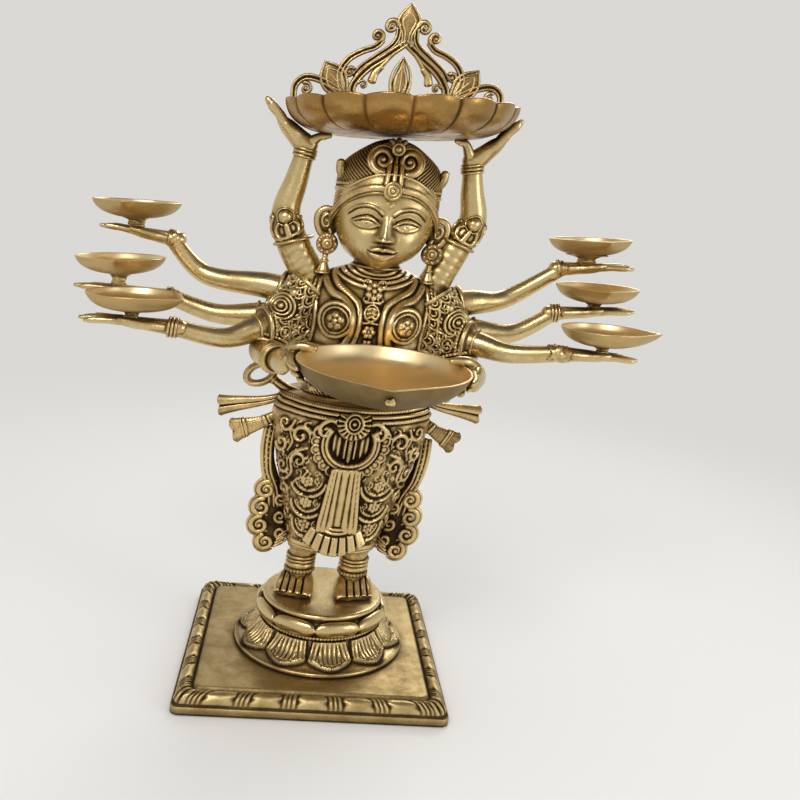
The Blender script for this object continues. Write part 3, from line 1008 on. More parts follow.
def make_earring(side):
    x, y, z = side * 46.5, -7.5, 330.0
    boss = [(9.2, -1.5), (9.6, 0.5), (8.8, 2.4), (6.4, 3.0), (5.4, 2.4), (4.8, 3.4), (3.0, 4.4), (1.4, 4.0), (0.5, 4.2)]
    bell = [(6.8, 0), (7.2, 0.7), (6.8, 1.6), (5.8, 2.2), (5.2, 3.4), (4.4, 6.0), (3.2, 8.6), (2.6, 10.4), (3.3, 11.6),
            (2.6, 12.8), (2.0, 14), (2.8, 15.4), (2.0, 17)]
    beads = [ball(x + 7.2 * math.cos(b), y - 2.7, z + 7.2 * math.sin(b), 2.0, 12) for b in np.arange(9) * TAU / 9]
    return placed([turned(boss, (x, y, z), "-y", 44), *beads, ball(x, y - 4.2, z, 2.6, 14),
                   turned(bell, (x, y, z - 26.0), "z", 36, 12, 0.035),
                   hoop((x, y, z - 15.0), (0, 0, 1), 3.0, 3.0, 1.0, 28)])


for word, side in (("left", -1), ("right", 1)):
    add_piece(f"earring_casting_{word}", make_earring(side), f"earring_{word}", antique_brass)

# Side pleats of the skirt: two long ribs down each hip that open into scrolled frills above the hem.
# Each is a flat casting brazed to the side of the skirt.


def flat_scroll(x, y, z, radius, start, turns, thick, side, inner=0.22):
    """A scroll that lies flat against the hip."""
    path = [(side * p, y, q) for p, q in curl(x, z, radius, start, turns, inner, 30)]
    return tube(path, (thick, thick * 0.95, thick * 0.55), steps=64, around=14)


def make_side_pleat(side):
    slab = [(side * x, -3.6, z) for x, z in ((71, 158), (71, 130), (64, 105), (60, 82), (58, 60), (54, 45))]
    parts = [tube(slab, (5.4, 6.2, 8.5, 14, 16, 10), (2.6, 2.8, 3.0, 3.4, 3.4, 3.0), steps=60, around=36, carve=0.75)]
    for x0, x1, x2, girth in ((68.5, 66.0, 58, 1.5), (72.3, 69.6, 61.5, 1.7), (76.2, 73.2, 66, 1.9)):
        path = [(side * p, -6.6, q) for p, q in ((x0, 159), (x0 + 0.5, 140), (x1, 118), (x2, 100), (x2 - 3, 84))]
        parts.append(tube(path, (girth, girth * 1.1, girth, girth * 0.9, 1.0), steps=60, around=14))
    for k in range(9):
        z = 156 - 5.2 * k
        notch = [(side * (70.4 - 0.1 * k), -7.4, z), (side * (74.2 - 0.15 * k), -7.4, z + 1.2)]
        parts.append(tube(notch, (0.9, 0.9), steps=6, around=10))
    for x, z, radius, start in ((67.5, 99.5, 8.2, 100), (70, 82, 8.6, 95), (69.5, 64.5, 8.8, 90), (62, 48, 8.0, 60)):
        parts.append(flat_scroll(x, -7.2, z, radius, start, -1.45, 2.6, side))
        parts.append(flat_scroll(x, -5.4, z, radius + 2.6, start + 30, -0.62, 1.7, side, 0.95))
        parts.append(ball(side * x, -8.6, z, 2.2, 12))
    for x, z, radius, start in ((53, 91, 5.5, 250), (51.5, 74, 5.8, 240), (49, 58, 5.6, 235)):
        parts.append(flat_scroll(x, -7.0, z, radius, start, 1.2, 1.9, side))
    for k in range(4):
        z = 55 - 3.4 * k
        parts.append(tube([(side * 43, -7.0, z + 6), (side * (50 + k), -8.0, z)], (1.1, 1.5), steps=8, around=10))
    return placed(parts)


for word, side in (("left", -1), ("right", 1)):
    add_piece(f"side_pleat_casting_{word}", make_side_pleat(side), f"side_pleat_{word}", antique_brass)

# Sash tails: ribbons of the waist sash that stand out from the hips and flare into folded ends.
# They are cast flat, bent, and brazed into the side of the skirt.


def limb_net(path, girth, steps, around):
    """Rows of a limb, with the run S round it from its front line and the way Z along it."""
    points = sweep(path, girth, steps=steps, around=around, blunt=False)
    centre = points.mean(1)
    way = np.concatenate([[0], np.cumsum(np.linalg.norm(np.diff(centre, axis=0), axis=1))])
    size = np.linalg.norm(points - centre[:, None], axis=2).mean(1)
    turn = (np.linspace(0, TAU, around, endpoint=False) - 0.25 * TAU) % TAU - 0.5 * TAU
    return points, turn[None, :] * size[:, None], np.repeat(way[:, None], around, 1)


def make_tail(start, end, width, flare, hatched):
    start, end = np.array(start, float), np.array(end, float)
    way = [start + (end - start) * t + [0, 0, s] for t, s in ((0, 0), (0.35, -2.5), (0.75, -1), (1, 0))]
    half = [0.5 * (width + (flare - width) * t) * s for t, s in ((0, 0.5), (0.35, 0.6), (0.75, 0.85), (1, 1.05))]
    steps, around = 110, 120
    points = sweep(way, half, (2.2, 2.3, 2.8, 3.6), steps=steps, around=around, blunt=False)
    centre = points.mean(1, keepdims=True)
    along = unit(centre[-1, 0] - centre[-12, 0])
    t = np.linspace(0, 1, steps)[:, None]
    a = np.linspace(0, TAU, around, endpoint=False)[None, :]
    across = np.cos(a) + 0 * t
    reach = np.linalg.norm(end - start)
    lobes = np.abs(np.sin(across * math.pi)) ** 0.7
    points = points + along * (np.clip((t - 0.72) / 0.28, 0, 1) ** 2 * (3.4 * lobes - 3.4))[..., None]
    h = (0.5 + 1.5 * t ** 2) * lobes * np.abs(np.sin(a)) ** 0.5 - 0.6 * np.exp(-(across / 0.08) ** 2)
    if hatched:
        weave = np.cos((across * 9 + t * reach) * 1.5) * np.cos((across * 9 - t * reach) * 1.5)
        h = np.where((t > 0.3) & (t < 0.6), 0.9 + 0.6 * weave, h)
        for place, wide in ((0.22, 0.8), (0.28, 1.1), (0.62, 1.1), (0.68, 0.8)):
            h = np.maximum(h, 1.2 * wide + 0.9 * ridge_of((t - place) * reach / (1.3 * wide)) - 0.2)
    return placed([carved_net(points, h, cells=2, depth=0.7, base=0.1)])


for word, start, end, width, flare, hatched in (
        ("left_upper", (-58, -4, 192), (-122, -8, 176), 13, 19, False),
        ("left_lower", (-66, -8, 174), (-107, -12, 154), 12, 22, True),
        ("right_upper", (58, -4, 198), (118, -8, 188), 12, 17, False),
        ("right_lower", (64, -8, 180), (100, -12, 159), 12, 21, True)):
    add_piece(f"sash_tail_casting_{word}", make_tail(start, end, width, flare, hatched), f"sash_tail_{word}",
              antique_brass)

# The bow loop of the sash at the left hip: a smooth ribbon bent into a ring, with its neck at the knot.
# It is cast in brass and brazed to the skirt between the two left tails.


def make_loop():
    x, y, z, wide, tall = -88, -4, 208, 12, 9
    a = np.linspace(0, TAU, 72, endpoint=False)
    ring = np.stack([x + wide * np.cos(a), y + 0 * a, z + tall * np.sin(a) + 0.25 * wide * np.cos(a)], -1)
    b = np.linspace(0, TAU, 16, endpoint=False)
    along = np.roll(ring, -1, 0) - np.roll(ring, 1, 0)
    along /= np.linalg.norm(along, axis=1, keepdims=True)
    out = np.cross(along, (0, 1, 0))
    thick, deep = 2.9 + 0.5 * np.cos(4 * b), 4.3
    points = (ring[:, None] + out[:, None] * (np.cos(b) * thick)[None, :, None]
              + np.array((0, 1, 0)) * (np.sin(b) * deep)[None, :, None])
    neck, S, _ = limb_net([(-77.5, y, 205), (-70, y, 200), (-62, y, 195.6), (-52, y, 192)], (3.4, 3.8, 4.2, 4.8),
                          50, 40)
    return placed([looped(points, 0.1 + 0.2 * np.cos(b) ** 8),
                   carved_net(neck, 0.6 * np.cos(S * 1.1), cells=2, depth=0.6),
                   hoop((-75.5, y, 203.8), (0.85, 0, -0.5), 3.4, 3.4, 1.5, 26)])


add_piece("sash_loop_casting", make_loop(), "sash_loop_left", antique_brass)

# The six side arms, cast in pairs of moulds: a short carved sleeve at the shoulder, then a smooth polished arm.
# Each ends at its wrist, where the hand was brazed on. A row of the table holds the places of the palm and the elbow,
# the hand's length and rise, the stem under its lamp, the lamp's shift and tilt, and where its spout points.
SIDE_ARMS = {
    "left_upper": ((-210, 25, 320), (-150, 25, 289), 67, 0.08, 9, -7, 0.04, -95),
    "left_middle": ((-213, 8, 269), (-136, 8, 257), 85, 0.03, 11, -10, 0.06, -85),
    "left_lower": ((-196, -53, 251), (-122, -38, 243), 79, 0.02, 6, -2, 0.03, -28),
    "right_upper": ((204, 25, 331), (128, 25, 295), 72, 0.1, 8, -7, 0.08, -85),
    "right_middle": ((204, 8, 291), (136, 8, 265), 78, 0.1, 6, 4, 0.04, -95),
    "right_lower": ((200, -50, 259), (127, -38, 253), 68, 0.0, 6, 4, 0.03, -10),
}


def arm_run(palm, elbow, length, rise):
    """Which side an arm is on, and the places of its root, cuff, elbow and wrist."""
    side = math.copysign(1, palm[0])
    wrist = np.array([palm[0] - side * 0.44 * length, palm[1], palm[2] - rise * 0.44 * length])
    root_z = 258 if elbow[2] < 270 else 278
    root = np.array([side * 46, 6 + 0.1 * elbow[1], root_z])
    cuff = np.array([side * 92, 0.6 * elbow[1], (root_z + elbow[2]) / 2 + 2])
    return side, root, cuff, np.array(elbow, float), wrist


def lumps_of(seed, rows, columns, cells):
    """A field of soft lumps, as a rough casting or a run of solder has."""
    field = np.random.default_rng(seed).normal(0, 1, (rows, columns))
    field = soften(soften(field, cells), cells)
    return field / field.std()


def solder(middle, along, girth, deep, reach, seed, rough, bulge):
    """A collar of brazing metal round a joint, lumpy and uneven at its edges."""
    middle, along = np.array(middle, float), unit(along)
    lumps = lumps_of(seed, 30, 70, 2)
    t = np.linspace(-1, 1, 30)[:, None]
    wide = sizes_along([0.93 * girth, 0.99 * girth, girth + bulge, girth + bulge * 0.8, girth + bulge, 0.99 * girth,
                        0.93 * girth], 30)
    path = [middle + along * reach * s for s in (-1, 0, 1)]
    points = sweep(path, (girth, girth, girth), (deep, deep, deep), steps=30, around=70, blunt=False)
    centre = points.mean(1, keepdims=True)
    points = centre + (points - centre) * (wide / girth)[:, None, None]
    points = points + along * lumps[..., None] * np.abs(t)[..., None]
    return carved_net(points, rough * lumps * (1 - np.abs(t) ** 4), cells=2, depth=1.2)


def carve_sleeve(h, S, Z, reach, shift=0.0):
    """Nested scales, a row of rings and a double hem on a sleeve whose length is reach."""
    h += 0.2 * np.cos((S + Z) * TAU / 3.2) * np.cos((S - Z) * TAU / 3.2)
    wide, tall = 10.5, 7.5
    for row in range(int((reach - 20) / tall)):
        for k in range(-6, 7):
            x, z = (k + 0.5 * (row % 2)) * wide + shift, 4 + tall * row
            for radius, half, rise in ((4.7, 1.3, 2.3), (2.2, 1.0, 1.9)):
                cord(h, S, Z, arc(x, z, radius, 5, 175, 1.35, 18), half, rise)
    for k in range(-5, 6):
        x, z = k * wide + shift, reach - 14.5
        h[np.hypot(S - x, (Z - z) / 1.2) < 5.4] = 0
        cord(h, S, Z, arc(x, z, 4.2, 0, 360, 1.15), 1.0, 2.4)
        bead(h, S, Z, x, z, 2.3, 2.2)
    rope = 1 - 0.5 * (0.5 + 0.5 * np.cos(TAU * S / 3.4))
    for z, half, rise, cut in ((reach - 2.2, 2.0, 2.8, 1), (reach - 6.6, 1.8, 2.5, rope)):
        d = np.abs(Z - z) / half
        h[:] = np.where((np.abs(Z - z) < half + 0.6), np.where(d < 1, rise * ridge_of(d) * cut, -0.3), h)


def make_side_arm(word, palm, elbow, length, rise):
    side, root, cuff, elbow, wrist = arm_run(palm, elbow, length, rise)
    upper = word.endswith("upper")
    path = smooth_run([root, cuff, elbow, wrist + [side * 3, 0, 0.5]], 121)
    path = path[path[:, 0] * side < wrist[0] * side - 0.1]
    parts = [net(sweep(path[26:], (12.4, 12.0, 11.0, 9.8, 8.9, 8.2, 7.6, 7.2), steps=90, around=56, blunt=False))]
    girths = ((16.0, 15.4, 14.8, 14.6, 14.4, 14.4, 14.6, 14.8) if upper
              else (16.2, 15.8, 15.4, 15.2, 15.2, 15.4, 16.0, 16.6))
    points, S, Z = limb_net(path[:34 if upper else 41], girths, 120, 190)
    h = np.zeros(S.shape)
    carve_sleeve(h, S, Z, Z.max(), 3.0 * side)
    # the sleeve's open end, turned in round the arm
    lip, middle = points[-1], points[-1].mean(0)
    step = (points[-1] - points[-3]).mean(0)
    inward = [middle + (lip - middle) * f + step * g
              for f, g in ((0.985, 0.25), (0.93, 0.35), (0.84, 0.2), (0.72, -0.6))]
    points = np.concatenate([points, inward])
    h = np.concatenate([h, np.zeros((4, h.shape[1]))])
    h[-6:] *= np.linspace(1, 0, 6)[:, None]
    parts.append(carved_net(points, h))
    if not upper:
        parts.append(hoop(path[45], path[48] - path[44], 12.2, 12.2, 1.3, 64))
    return placed(parts)


for word, (palm, elbow, length, rise, *lamp) in SIDE_ARMS.items():
    add_piece(f"side_arm_casting_{word}", make_side_arm(word, palm, elbow, length, rise), f"side_arm_{word}",
              satin_brass)

# The six open hands, palm up, each with four tapering fingers and a thumb along its front edge.
# They were cast apart, brazed on at the wrist, and the bracelets hide or show the joint.


def moved(part, matrix, at):
    """A part turned by a 3 x 3 matrix and set at a place; a mirrored one keeps its outside out."""
    points, faces, marks = part
    matrix = np.array(matrix, float)
    if np.linalg.det(matrix) < 0:
        faces = np.where(faces[:, 3:] < 0, faces[:, [1, 0, 2, 3]], faces[:, [1, 0, 3, 2]])
    return points @ matrix.T + np.array(at, float), faces, marks


def open_hand(length, spread, seed, bend=0.0, splay=1.0, thumb=True):
    """The palm, fingers and thumb of an open hand along +X with its palm up, still to be melted together."""
    dice = np.random.default_rng(seed)
    flat = (0, 0, 1)
    palm = [(-3, 0, 0), (0.14 * length, 0, 0), (0.3 * length, 0, 0.3), (0.43 * length, 0, 0.4),
            (0.55 * length, 0.3, 0.6)]
    waxes = [tube(palm, (7.2, 7.6, 10.4, 11.6, 10.6), (7.0, 6.2, 5.4, 4.8, 3.4), hint=flat, steps=30, around=40)]
    for y, reach in zip((-8.6, -3.0, 2.7, 8.0), (0.93, 1.0, 0.97, 0.85)):
        y *= spread
        sway, lift = dice.normal(0, 0.4, 2)
        path = [(0.38 * length, 0.92 * y, 0.3), (0.54 * length, y, 1.2),
                (0.68 * length, splay * 1.02 * y + 0.3 * sway, 1.4 + 0.4 * lift + bend * 0.3),
                (0.84 * length, splay * 1.08 * y + 0.8 * sway, 0.9 + 0.8 * lift + bend * 0.6),
                (reach * length - 1.9, splay * 1.1 * y + sway, 0.2 + lift + bend)]
        waxes.append(tube(path, (2.95, 2.75, 2.9, 2.6, 2.7, 2.4, 1.9), (3.3, 3.0, 3.2, 2.8, 2.9, 2.5, 1.7), hint=flat,
                          steps=40, around=18))
    if thumb:
        path = [(0.14 * length, -5.6, 0), (0.28 * length, -11.2, 1.0), (0.42 * length, -13.6, 2.2),
                (0.55 * length, -13.9, 3.4)]
        waxes.append(tube(path, (4.6, 4.2, 3.4, 3.5, 2.4), steps=36, around=18))
    return waxes


# What is round each wrist, and how far the fingers bend. Rings are a place along the wrist and a wire;
# solder is its place, its play over the wrist, its reach, its roughness and its bulge.
WRISTS = {"left_upper": ("collar", 0.6), "left_middle": ("two", -0.4), "left_lower": ("three", 0.2),
          "right_upper": ("seam", 0.5), "right_middle": ("three", 0.8), "right_lower": ("broken", -0.2)}
WRIST_RINGS = {"three": ((-0.8, 1.35), (2.2, 1.5), (5.2, 1.35)), "two": ((0.4, 1.5), (3.8, 1.3)),
               "seam": ((-1.6, 1.3),)}
WRIST_SOLDER = {"seam": (2.2, 0.1, 1.6, 0.35, 0.6), "collar": (1, 0.4, 4.5, 0.5, 0.5),
                "broken": (-4, 0.6, 8.0, 0.8, 0.9)}
WRIST_RADIUS = 7.1
for number, (word, (palm, elbow, length, rise, *lamp)) in enumerate(SIDE_ARMS.items()):
    side, root, cuff, elbow, wrist = arm_run(palm, elbow, length, rise)
    how, bend = WRISTS[word]
    slope = [[side * math.cos(rise), 0, -side * math.sin(rise)], [0, 1, 0], [math.sin(rise), 0, math.cos(rise)]]
    parts = [moved(fused(open_hand(length, 1.02 if number % 2 else 0.98, 11 + number, bend), 0.5), slope, wrist)]
    along = unit((side, 0, rise))
    for shift, wire in WRIST_RINGS.get(how, ()):
        parts.append(hoop(wrist + along * shift, along, WRIST_RADIUS + 0.6, WRIST_RADIUS + 0.6, wire))
    if how in WRIST_SOLDER:
        shift, play, reach, rough, bulge = WRIST_SOLDER[how]
        around = WRIST_RADIUS + play
        parts.append(solder(wrist + along * shift, along, around, around, reach, 40 + number, rough, bulge))
    add_piece(f"side_hand_casting_{word}", placed(parts), f"side_hand_{word}", satin_brass)

# The six small oil lamps: thin turned bowls drawn out to a spout for the wick.
# Each stands on a short lumpy stem of brazing metal in the middle of its palm.


def posed(points, at, turn=0.0, tilt=0.0, nod=0.0):
    """Points turned about Z by degrees, then nodded and tilted by radians, then set in their place."""
    c, s = math.cos(math.radians(turn)), math.sin(math.radians(turn))
    x, y, z = points[..., 0], points[..., 1], points[..., 2]
    x, y = x * c - y * s, x * s + y * c
    y, z = y * math.cos(nod) - z * math.sin(nod), y * math.sin(nod) + z * math.cos(nod)
    x, z = x * math.cos(tilt) - z * math.sin(tilt), x * math.sin(tilt) + z * math.cos(tilt)
    return np.stack([x, y, z], -1) + np.array(at, float)


lamp_brass = cast_brass("lamp_brass", (0.90, 0.71, 0.40), (0.58, 0.42, 0.18), GRIME, 0.38, 0.7, 0.12, warm=0.12,
                        mottled=0.12)


def bowl(radius, spout, depth, wall, foot, columns, crease=0.0, seed=1, tone=0.75):
    """A bowl with a pointed spout along +X: up its outside, over a round lip and down its inside."""
    a = np.linspace(-TAU / 2, TAU / 2, columns, endpoint=False)
    touch = math.acos(radius / spout)
    edge = np.where(np.abs(a) < touch, radius / np.cos(touch - np.abs(a)), radius)
    edge = np.where(edge > spout - 0.8, spout - 0.8 + 0.25 * (edge - spout + 0.8), edge)
    steps, rim = 44, 48
    outside = smooth_run([(foot / radius, -depth), (0.42, -0.955 * depth), (0.66, -0.80 * depth), (0.82, -0.60 * depth),
                          (0.93, -0.34 * depth), (1, -0.45)], steps)
    inside = smooth_run([(1 - wall / radius, -0.35), (0.885, -0.36 * depth), (0.74, -0.60 * depth),
                         (0.5, -0.80 * depth), (0.25, -0.9 * depth + 0.1 * wall), (0.015, -depth + 1.35 * wall)], steps)
    lip = [(1 - f * wall / radius, z) for f, z in ((0.10, 0.05), (0.35, 0.34), (0.65, 0.34), (0.9, 0.05))]
    profile = np.concatenate([outside, lip, inside])
    share, z = profile[:, :1], profile[:, 1:]
    round_edge = edge.copy()
    for _ in range(columns // 3):
        round_edge = 0.25 * np.roll(round_edge, 1) + 0.5 * round_edge + 0.25 * np.roll(round_edge, -1)
    keel = round_edge + (edge - round_edge) * np.clip(share, 0, 1) ** 6
    r = share * (radius + (keel - radius) * share)
    ripple = np.zeros((len(profile), columns))
    ripple[-40:] = lumps_of(seed, 40, columns, 3) * 0.1 * np.linspace(0, 1, 40)[:, None] ** 0.3
    if crease:
        fold = (np.exp(-((r * np.sin(a)) / 1.1) ** 2) * (np.cos(a) > 0) * np.clip((share - 0.2) * 3, 0, 1)
                * np.clip((0.99 - share) * 20, 0, 1))
        ripple[rim:] -= crease * fold[rim:]
    marks = np.zeros(ripple.shape)
    marks[:steps] = np.clip(tone - 0.3 * share[:steps], 0, 1)
    return np.stack([r * np.cos(a), r * np.sin(a), z + ripple], -1), marks


def make_small_lamp(word, palm, gap, off, tilt, spout, seed):
    radius, depth, wall, palm_high = 38.5, 15, 2.0, 4.05
    at = (palm[0] + off, palm[1], palm[2] + palm_high + gap + depth)
    points, marks = bowl(radius, 50, depth, wall, 7.0, 220, seed=seed)
    lumps = lumps_of(seed + 5, 34, 60, 2)
    t = np.linspace(0, 1, 34)[:, None]
    a = np.linspace(0, TAU, 60, endpoint=False)
    waist = {"left_upper": 6.0, "right_upper": 9.0}.get(word, 5.0 + 0.5 * (seed % 3))
    size = waist + 2.0 * (2 * np.abs(t - 0.45)) ** 2.4 + (0.7 * waist) * np.clip((t - 0.5) / 0.5, 0, 1) ** 2
    web = 1 + 0.14 * np.cos(3 * a + seed) + 0.07 * lumps
    z = -depth - gap - 0.5 + t * (gap + 1.4)
    stem = np.stack([size * web * np.cos(a), size * web * np.sin(a), z + 0 * a], -1)
    return placed([net(posed(points, at, spout, tilt), marks),
                   carved_net(posed(stem, at, 0, tilt), 0.25 * lumps, cells=2, depth=1.0, base=0.05)])


for number, (word, (palm, elbow, length, rise, *lamp)) in enumerate(SIDE_ARMS.items()):
    add_piece(f"small_lamp_{word}", make_small_lamp(word, palm, *lamp, 70 + number), f"oil_lamp_{word}",
              lamp_brass)

# The two raised arms, polished smooth, each with a broad armlet, a lotus bud and a ball above it.
# The open hands are part of the same casting; their fingers lie against the outside of the dish.
DISH_AT, DISH_TILT, DISH_DEEP, DISH_FLOOR, DISH_RIM, DISH_POWER = (0, 0, 454), 0.075, 26.5, 56, 101, 2.2


def hugged(part, at, tilt, floor_r, rim, depth, power):
    """A soft part pressed back to the outside of a bowl, whose place, tilt and sizes are given."""
    points, faces, marks = part
    local = points - np.array(at, float)
    c, s = math.cos(tilt), math.sin(tilt)
    x, y, z = local[:, 0] * c + local[:, 2] * s, local[:, 1], -local[:, 0] * s + local[:, 2] * c
    r = np.maximum(np.hypot(x, y), 1e-6)
    low = np.clip(-z / depth, 0, 1)
    wall = floor_r + (rim - floor_r) * (1 - low ** 2) ** (1 / power)
    share = np.clip((r - floor_r) / (rim - floor_r), 0, 1)
    floor = -depth * np.sqrt(1 - share ** power)
    hit = (z < -0.3) & (r < wall) & (z > floor)
    sideways = hit & ((wall - r) < (z - floor))
    new_r = np.where(sideways, wall + 0.15, r)
    z = np.where(hit & ~sideways, floor - 0.15, z)
    x, y = x * new_r / r, y * new_r / r
    return np.stack([x * c - z * s, y, x * s + z * c], -1) + np.array(at, float), faces, marks


def make_raised_arm(side, band, elbow, wrist, tip, seed):
    bx, bz = band
    x, z = wrist
    path = [(side * 48, 6, 286), (bx, 8, bz), (elbow[0], 8, elbow[1]), ((elbow[0] + x) / 2, 7, (elbow[1] + z) / 2),
            (x, 5, z)]
    points, S, Z = limb_net(path, (14.2, 14.2, 14.0, 13.8, 13.2, 12.2, 11.2, 10.0, 8.8, 8.2), 230, 170)
    z0 = Z[int(np.argmin(np.abs(points.mean(1)[:, 2] - (bz + 3)))), 0]
    h = np.where(Z < z0 - 3, 0.5 + 0.14 * np.cos((Z - z0) * TAU / 7.5), 0)
    cord(h, S, Z, [(0, z0 + 4), (0, z0 + 14)], 3.0, 3.0, 0.8)
    for way in (-1, 1):
        cords(h, S, Z, way,
              (curve((1, z0 + 3), (8, z0 + 5), (10, z0 + 11), (6, z0 + 16.5), count=20), 2.1, 2.8, 0.6),
              (curve((7, z0 + 3), (15, z0 + 7), (16.5, z0 + 14), (12, z0 + 20), count=20), 2.0, 2.2, 0.5),
              (curl(13.5, z0 + 20.5, 3.6, -60, 0.9, 0.3, 18), 1.2, 2.0, 0.6))
    bead(h, S, Z, 0, z0 + 21.5, 6.0, 5.2)
    cord(h, S, Z, arc(0, z0 + 21.5, 7.4, 0, 360, count=36), 0.9, 1.3)
    lean = (math.sin(side * 0.32), 0, math.cos(side * 0.32))
    parts = [carved_net(points, h), hoop((bx, 8, bz + 3), lean, 14.8, 14.8, 3.9, 90, wide=0.5)]
    run = unit(np.array(path[4], float) - np.array(path[3], float))
    for k, wire in ((-9, 1.3), (-6, 1.5), (-3, 1.3)):
        parts.append(hoop(np.array(path[4], float) + run * k, run, 8.9 - 0.06 * k, 8.9 - 0.06 * k, wire, 60))

    # the hand, laid back, with the heel of the palm under the dish
    slope = math.atan2(tip[1] - z, abs(tip[0] - x))
    c, s = math.cos(slope), math.sin(slope)
    turn = [[side * c, 0, -1.4 * side * s], [0, side, 0], [s, 0, 1.4 * c]]
    waxes = [moved(p, turn, (x + side, 4, z)) for p in open_hand(54, 1.06, seed, 3.4, 1.06, thumb=False)]
    under = DISH_AT[2] + side * DISH_TILT * DISH_FLOOR - DISH_DEEP
    heel = [(x, 4, z - 2), (x - side * 3, 3, z + 3), (x - side * 9, 1, under - 4.2), (x - side * 14, 0, under - 3.0),
            (x - side * 18, -1, under - 2.2)]
    waxes.append(tube(heel, (6.4, 5.6, 3.8, 3.2, 2.2), steps=36, around=22))
    waxes.append(tube([(x - side * 1, 5, z - 6), (x, 5, z), (x + side * 3, 4.5, z + 4)], (8.0, 8.2, 7.4), steps=14,
                      around=30))
    parts.append(hugged(fused(waxes, 0.55), DISH_AT, DISH_TILT, DISH_FLOOR, DISH_RIM, DISH_DEEP, DISH_POWER))
    return placed(parts)


for word, side, band, elbow, wrist, tip in (("left", -1, (-76, 326), (-86, 352), (-76, 411), (-119, 443)),
                                            ("right", 1, (69, 338), (80, 362), (70, 414), (108, 449))):
    add_piece(f"raised_arm_casting_{word}", make_raised_arm(side, band, elbow, wrist, tip, 90 + side),
              f"raised_arm_{word}", satin_brass)

# The raised dish, sixteen lotus petals fluted into its wall, turned and polished bright.
# It rests on the palms of the raised hands.


def make_dish():
    a = np.linspace(0, TAU, 512, endpoint=False)[None, :]
    bulge = np.abs(np.sin(8 * a)) ** 0.85
    floor = np.linspace(0.02, 1, 26)[:, None]
    turn = np.linspace(0, 0.25 * TAU, 46)[1:, None]
    share = np.sin(turn) ** (1 / 1.1)
    wall_r = DISH_FLOOR + (DISH_RIM - DISH_FLOOR) * share - 3.6 * (1 - bulge) * share
    wall_z = -DISH_DEEP * np.cos(turn) + 2.0 * (bulge - 1) * share ** 3
    r = np.concatenate([DISH_FLOOR * floor + 0 * a, wall_r])
    z = np.concatenate([-DISH_DEEP + 0 * floor + 0 * a, wall_z])
    ring = np.concatenate([floor * 0, share])
    z = z - 1.1 * (bulge - 1) * np.clip((r / DISH_FLOOR - 0.55) / 0.45, 0, 1) * (ring == 0)
    outer = np.stack([r * np.cos(a), r * np.sin(a), z], -1)
    outer = raised(outer, -(0.5 * np.exp(-((bulge - 0.02) / 0.08) ** 2) * ring))
    inner = outer - outward(outer) * 2.5
    inner[..., 2] = np.minimum(inner[..., 2], outer[-1, :, 2])
    lip = [outer[-1] * (1 - f) + inner[-1] * f + np.array((0, 0, 1.0)) * g
           for f, g in ((0.06, 0.35), (0.25, 0.68), (0.5, 0.8), (0.75, 0.68), (0.94, 0.35))]
    points = np.concatenate([outer, np.array(lip), inner[::-1]])
    low, high = len(outer), len(outer) + len(lip)
    h = np.zeros(points.shape[:2])
    flat_r = np.hypot(points[..., 0], points[..., 1])
    for radius in (12, 30, 50):
        h[:high] += 0.25 * np.exp(-((flat_r[:high] - radius) / 0.8) ** 2)
        h[high:] += 0.35 * np.exp(-((flat_r[high:] - radius) / 0.9) ** 2)
    marks = np.zeros(points.shape[:2])
    marks[:low] = np.clip(0.15 + 0.75 * np.exp(-(bulge / 0.16) ** 2) * ring, 0, 1)
    marks[high:] = 0.1 + 0.5 * np.exp(-(bulge / 0.12) ** 2) * ring[::-1]
    return placed([net(posed(raised(points, h), DISH_AT, 0, DISH_TILT), marks)])


mirror_brass = cast_brass("mirror_brass", (0.56, 0.385, 0.15), (0.38, 0.24, 0.08), DARK_GRIME, 0.16, 0.9, 0.18,
                          warm=0.5, age=0.08, mottled=0.6)
add_piece("dish_bowl", make_dish(), "raised_dish", mirror_brass)

# The openwork crest that stands in the back of the dish: an onion arch of double bars and curls round a flame leaf.
# It is cast in one, its bars rounded and grooved, and its foot is brazed inside the bowl.
CREST_BASE, CREST_SLANT, CREST_X, CREST_Y = 461, 0.065, -2, 42


def crest_place(u, v):
    """A place in the plane of the crest, u to its right and v above its base."""
    return (CREST_X + u - 0.015 * v, CREST_Y, CREST_BASE + v + CREST_SLANT * u)


def crest_rod(path, girth, deep, steps, around, turn=1, carve=0.0):
    """A rod along a path in the plane of the crest, mirrored where turn is -1."""
    return tube([crest_place(turn * u, v) for u, v in path], girth, deep, steps=steps, around=around, carve=carve)


def crest_bar(points, start, end, turn=1, ribs=2):
    """A bar of the crest: rounded ribs side by side with a dark groove between them."""
    count = 46
    run = smooth_run([(turn * u, v) for u, v in points], count)
    ahead = np.gradient(run, axis=0)
    ahead /= np.linalg.norm(ahead, axis=1, keepdims=True)
    side = np.stack([-ahead[:, 1], ahead[:, 0]], -1)
    half = np.linspace(start, end, count) / 2
    rods = [(0, 0.78, 1.5, 14, 0.85)]
    rods += [(0, 0.95, 2.5, 16, 0.0)] if ribs == 1 else [(shift, 0.46, 2.5, 16, 0.0) for shift in (-0.56, 0.56)]
    return [crest_rod(run + side * (shift * half)[:, None], np.maximum(share * half, 0.35), [deep] * count, count,
                      around, carve=carve) for shift, share, deep, around, carve in rods]


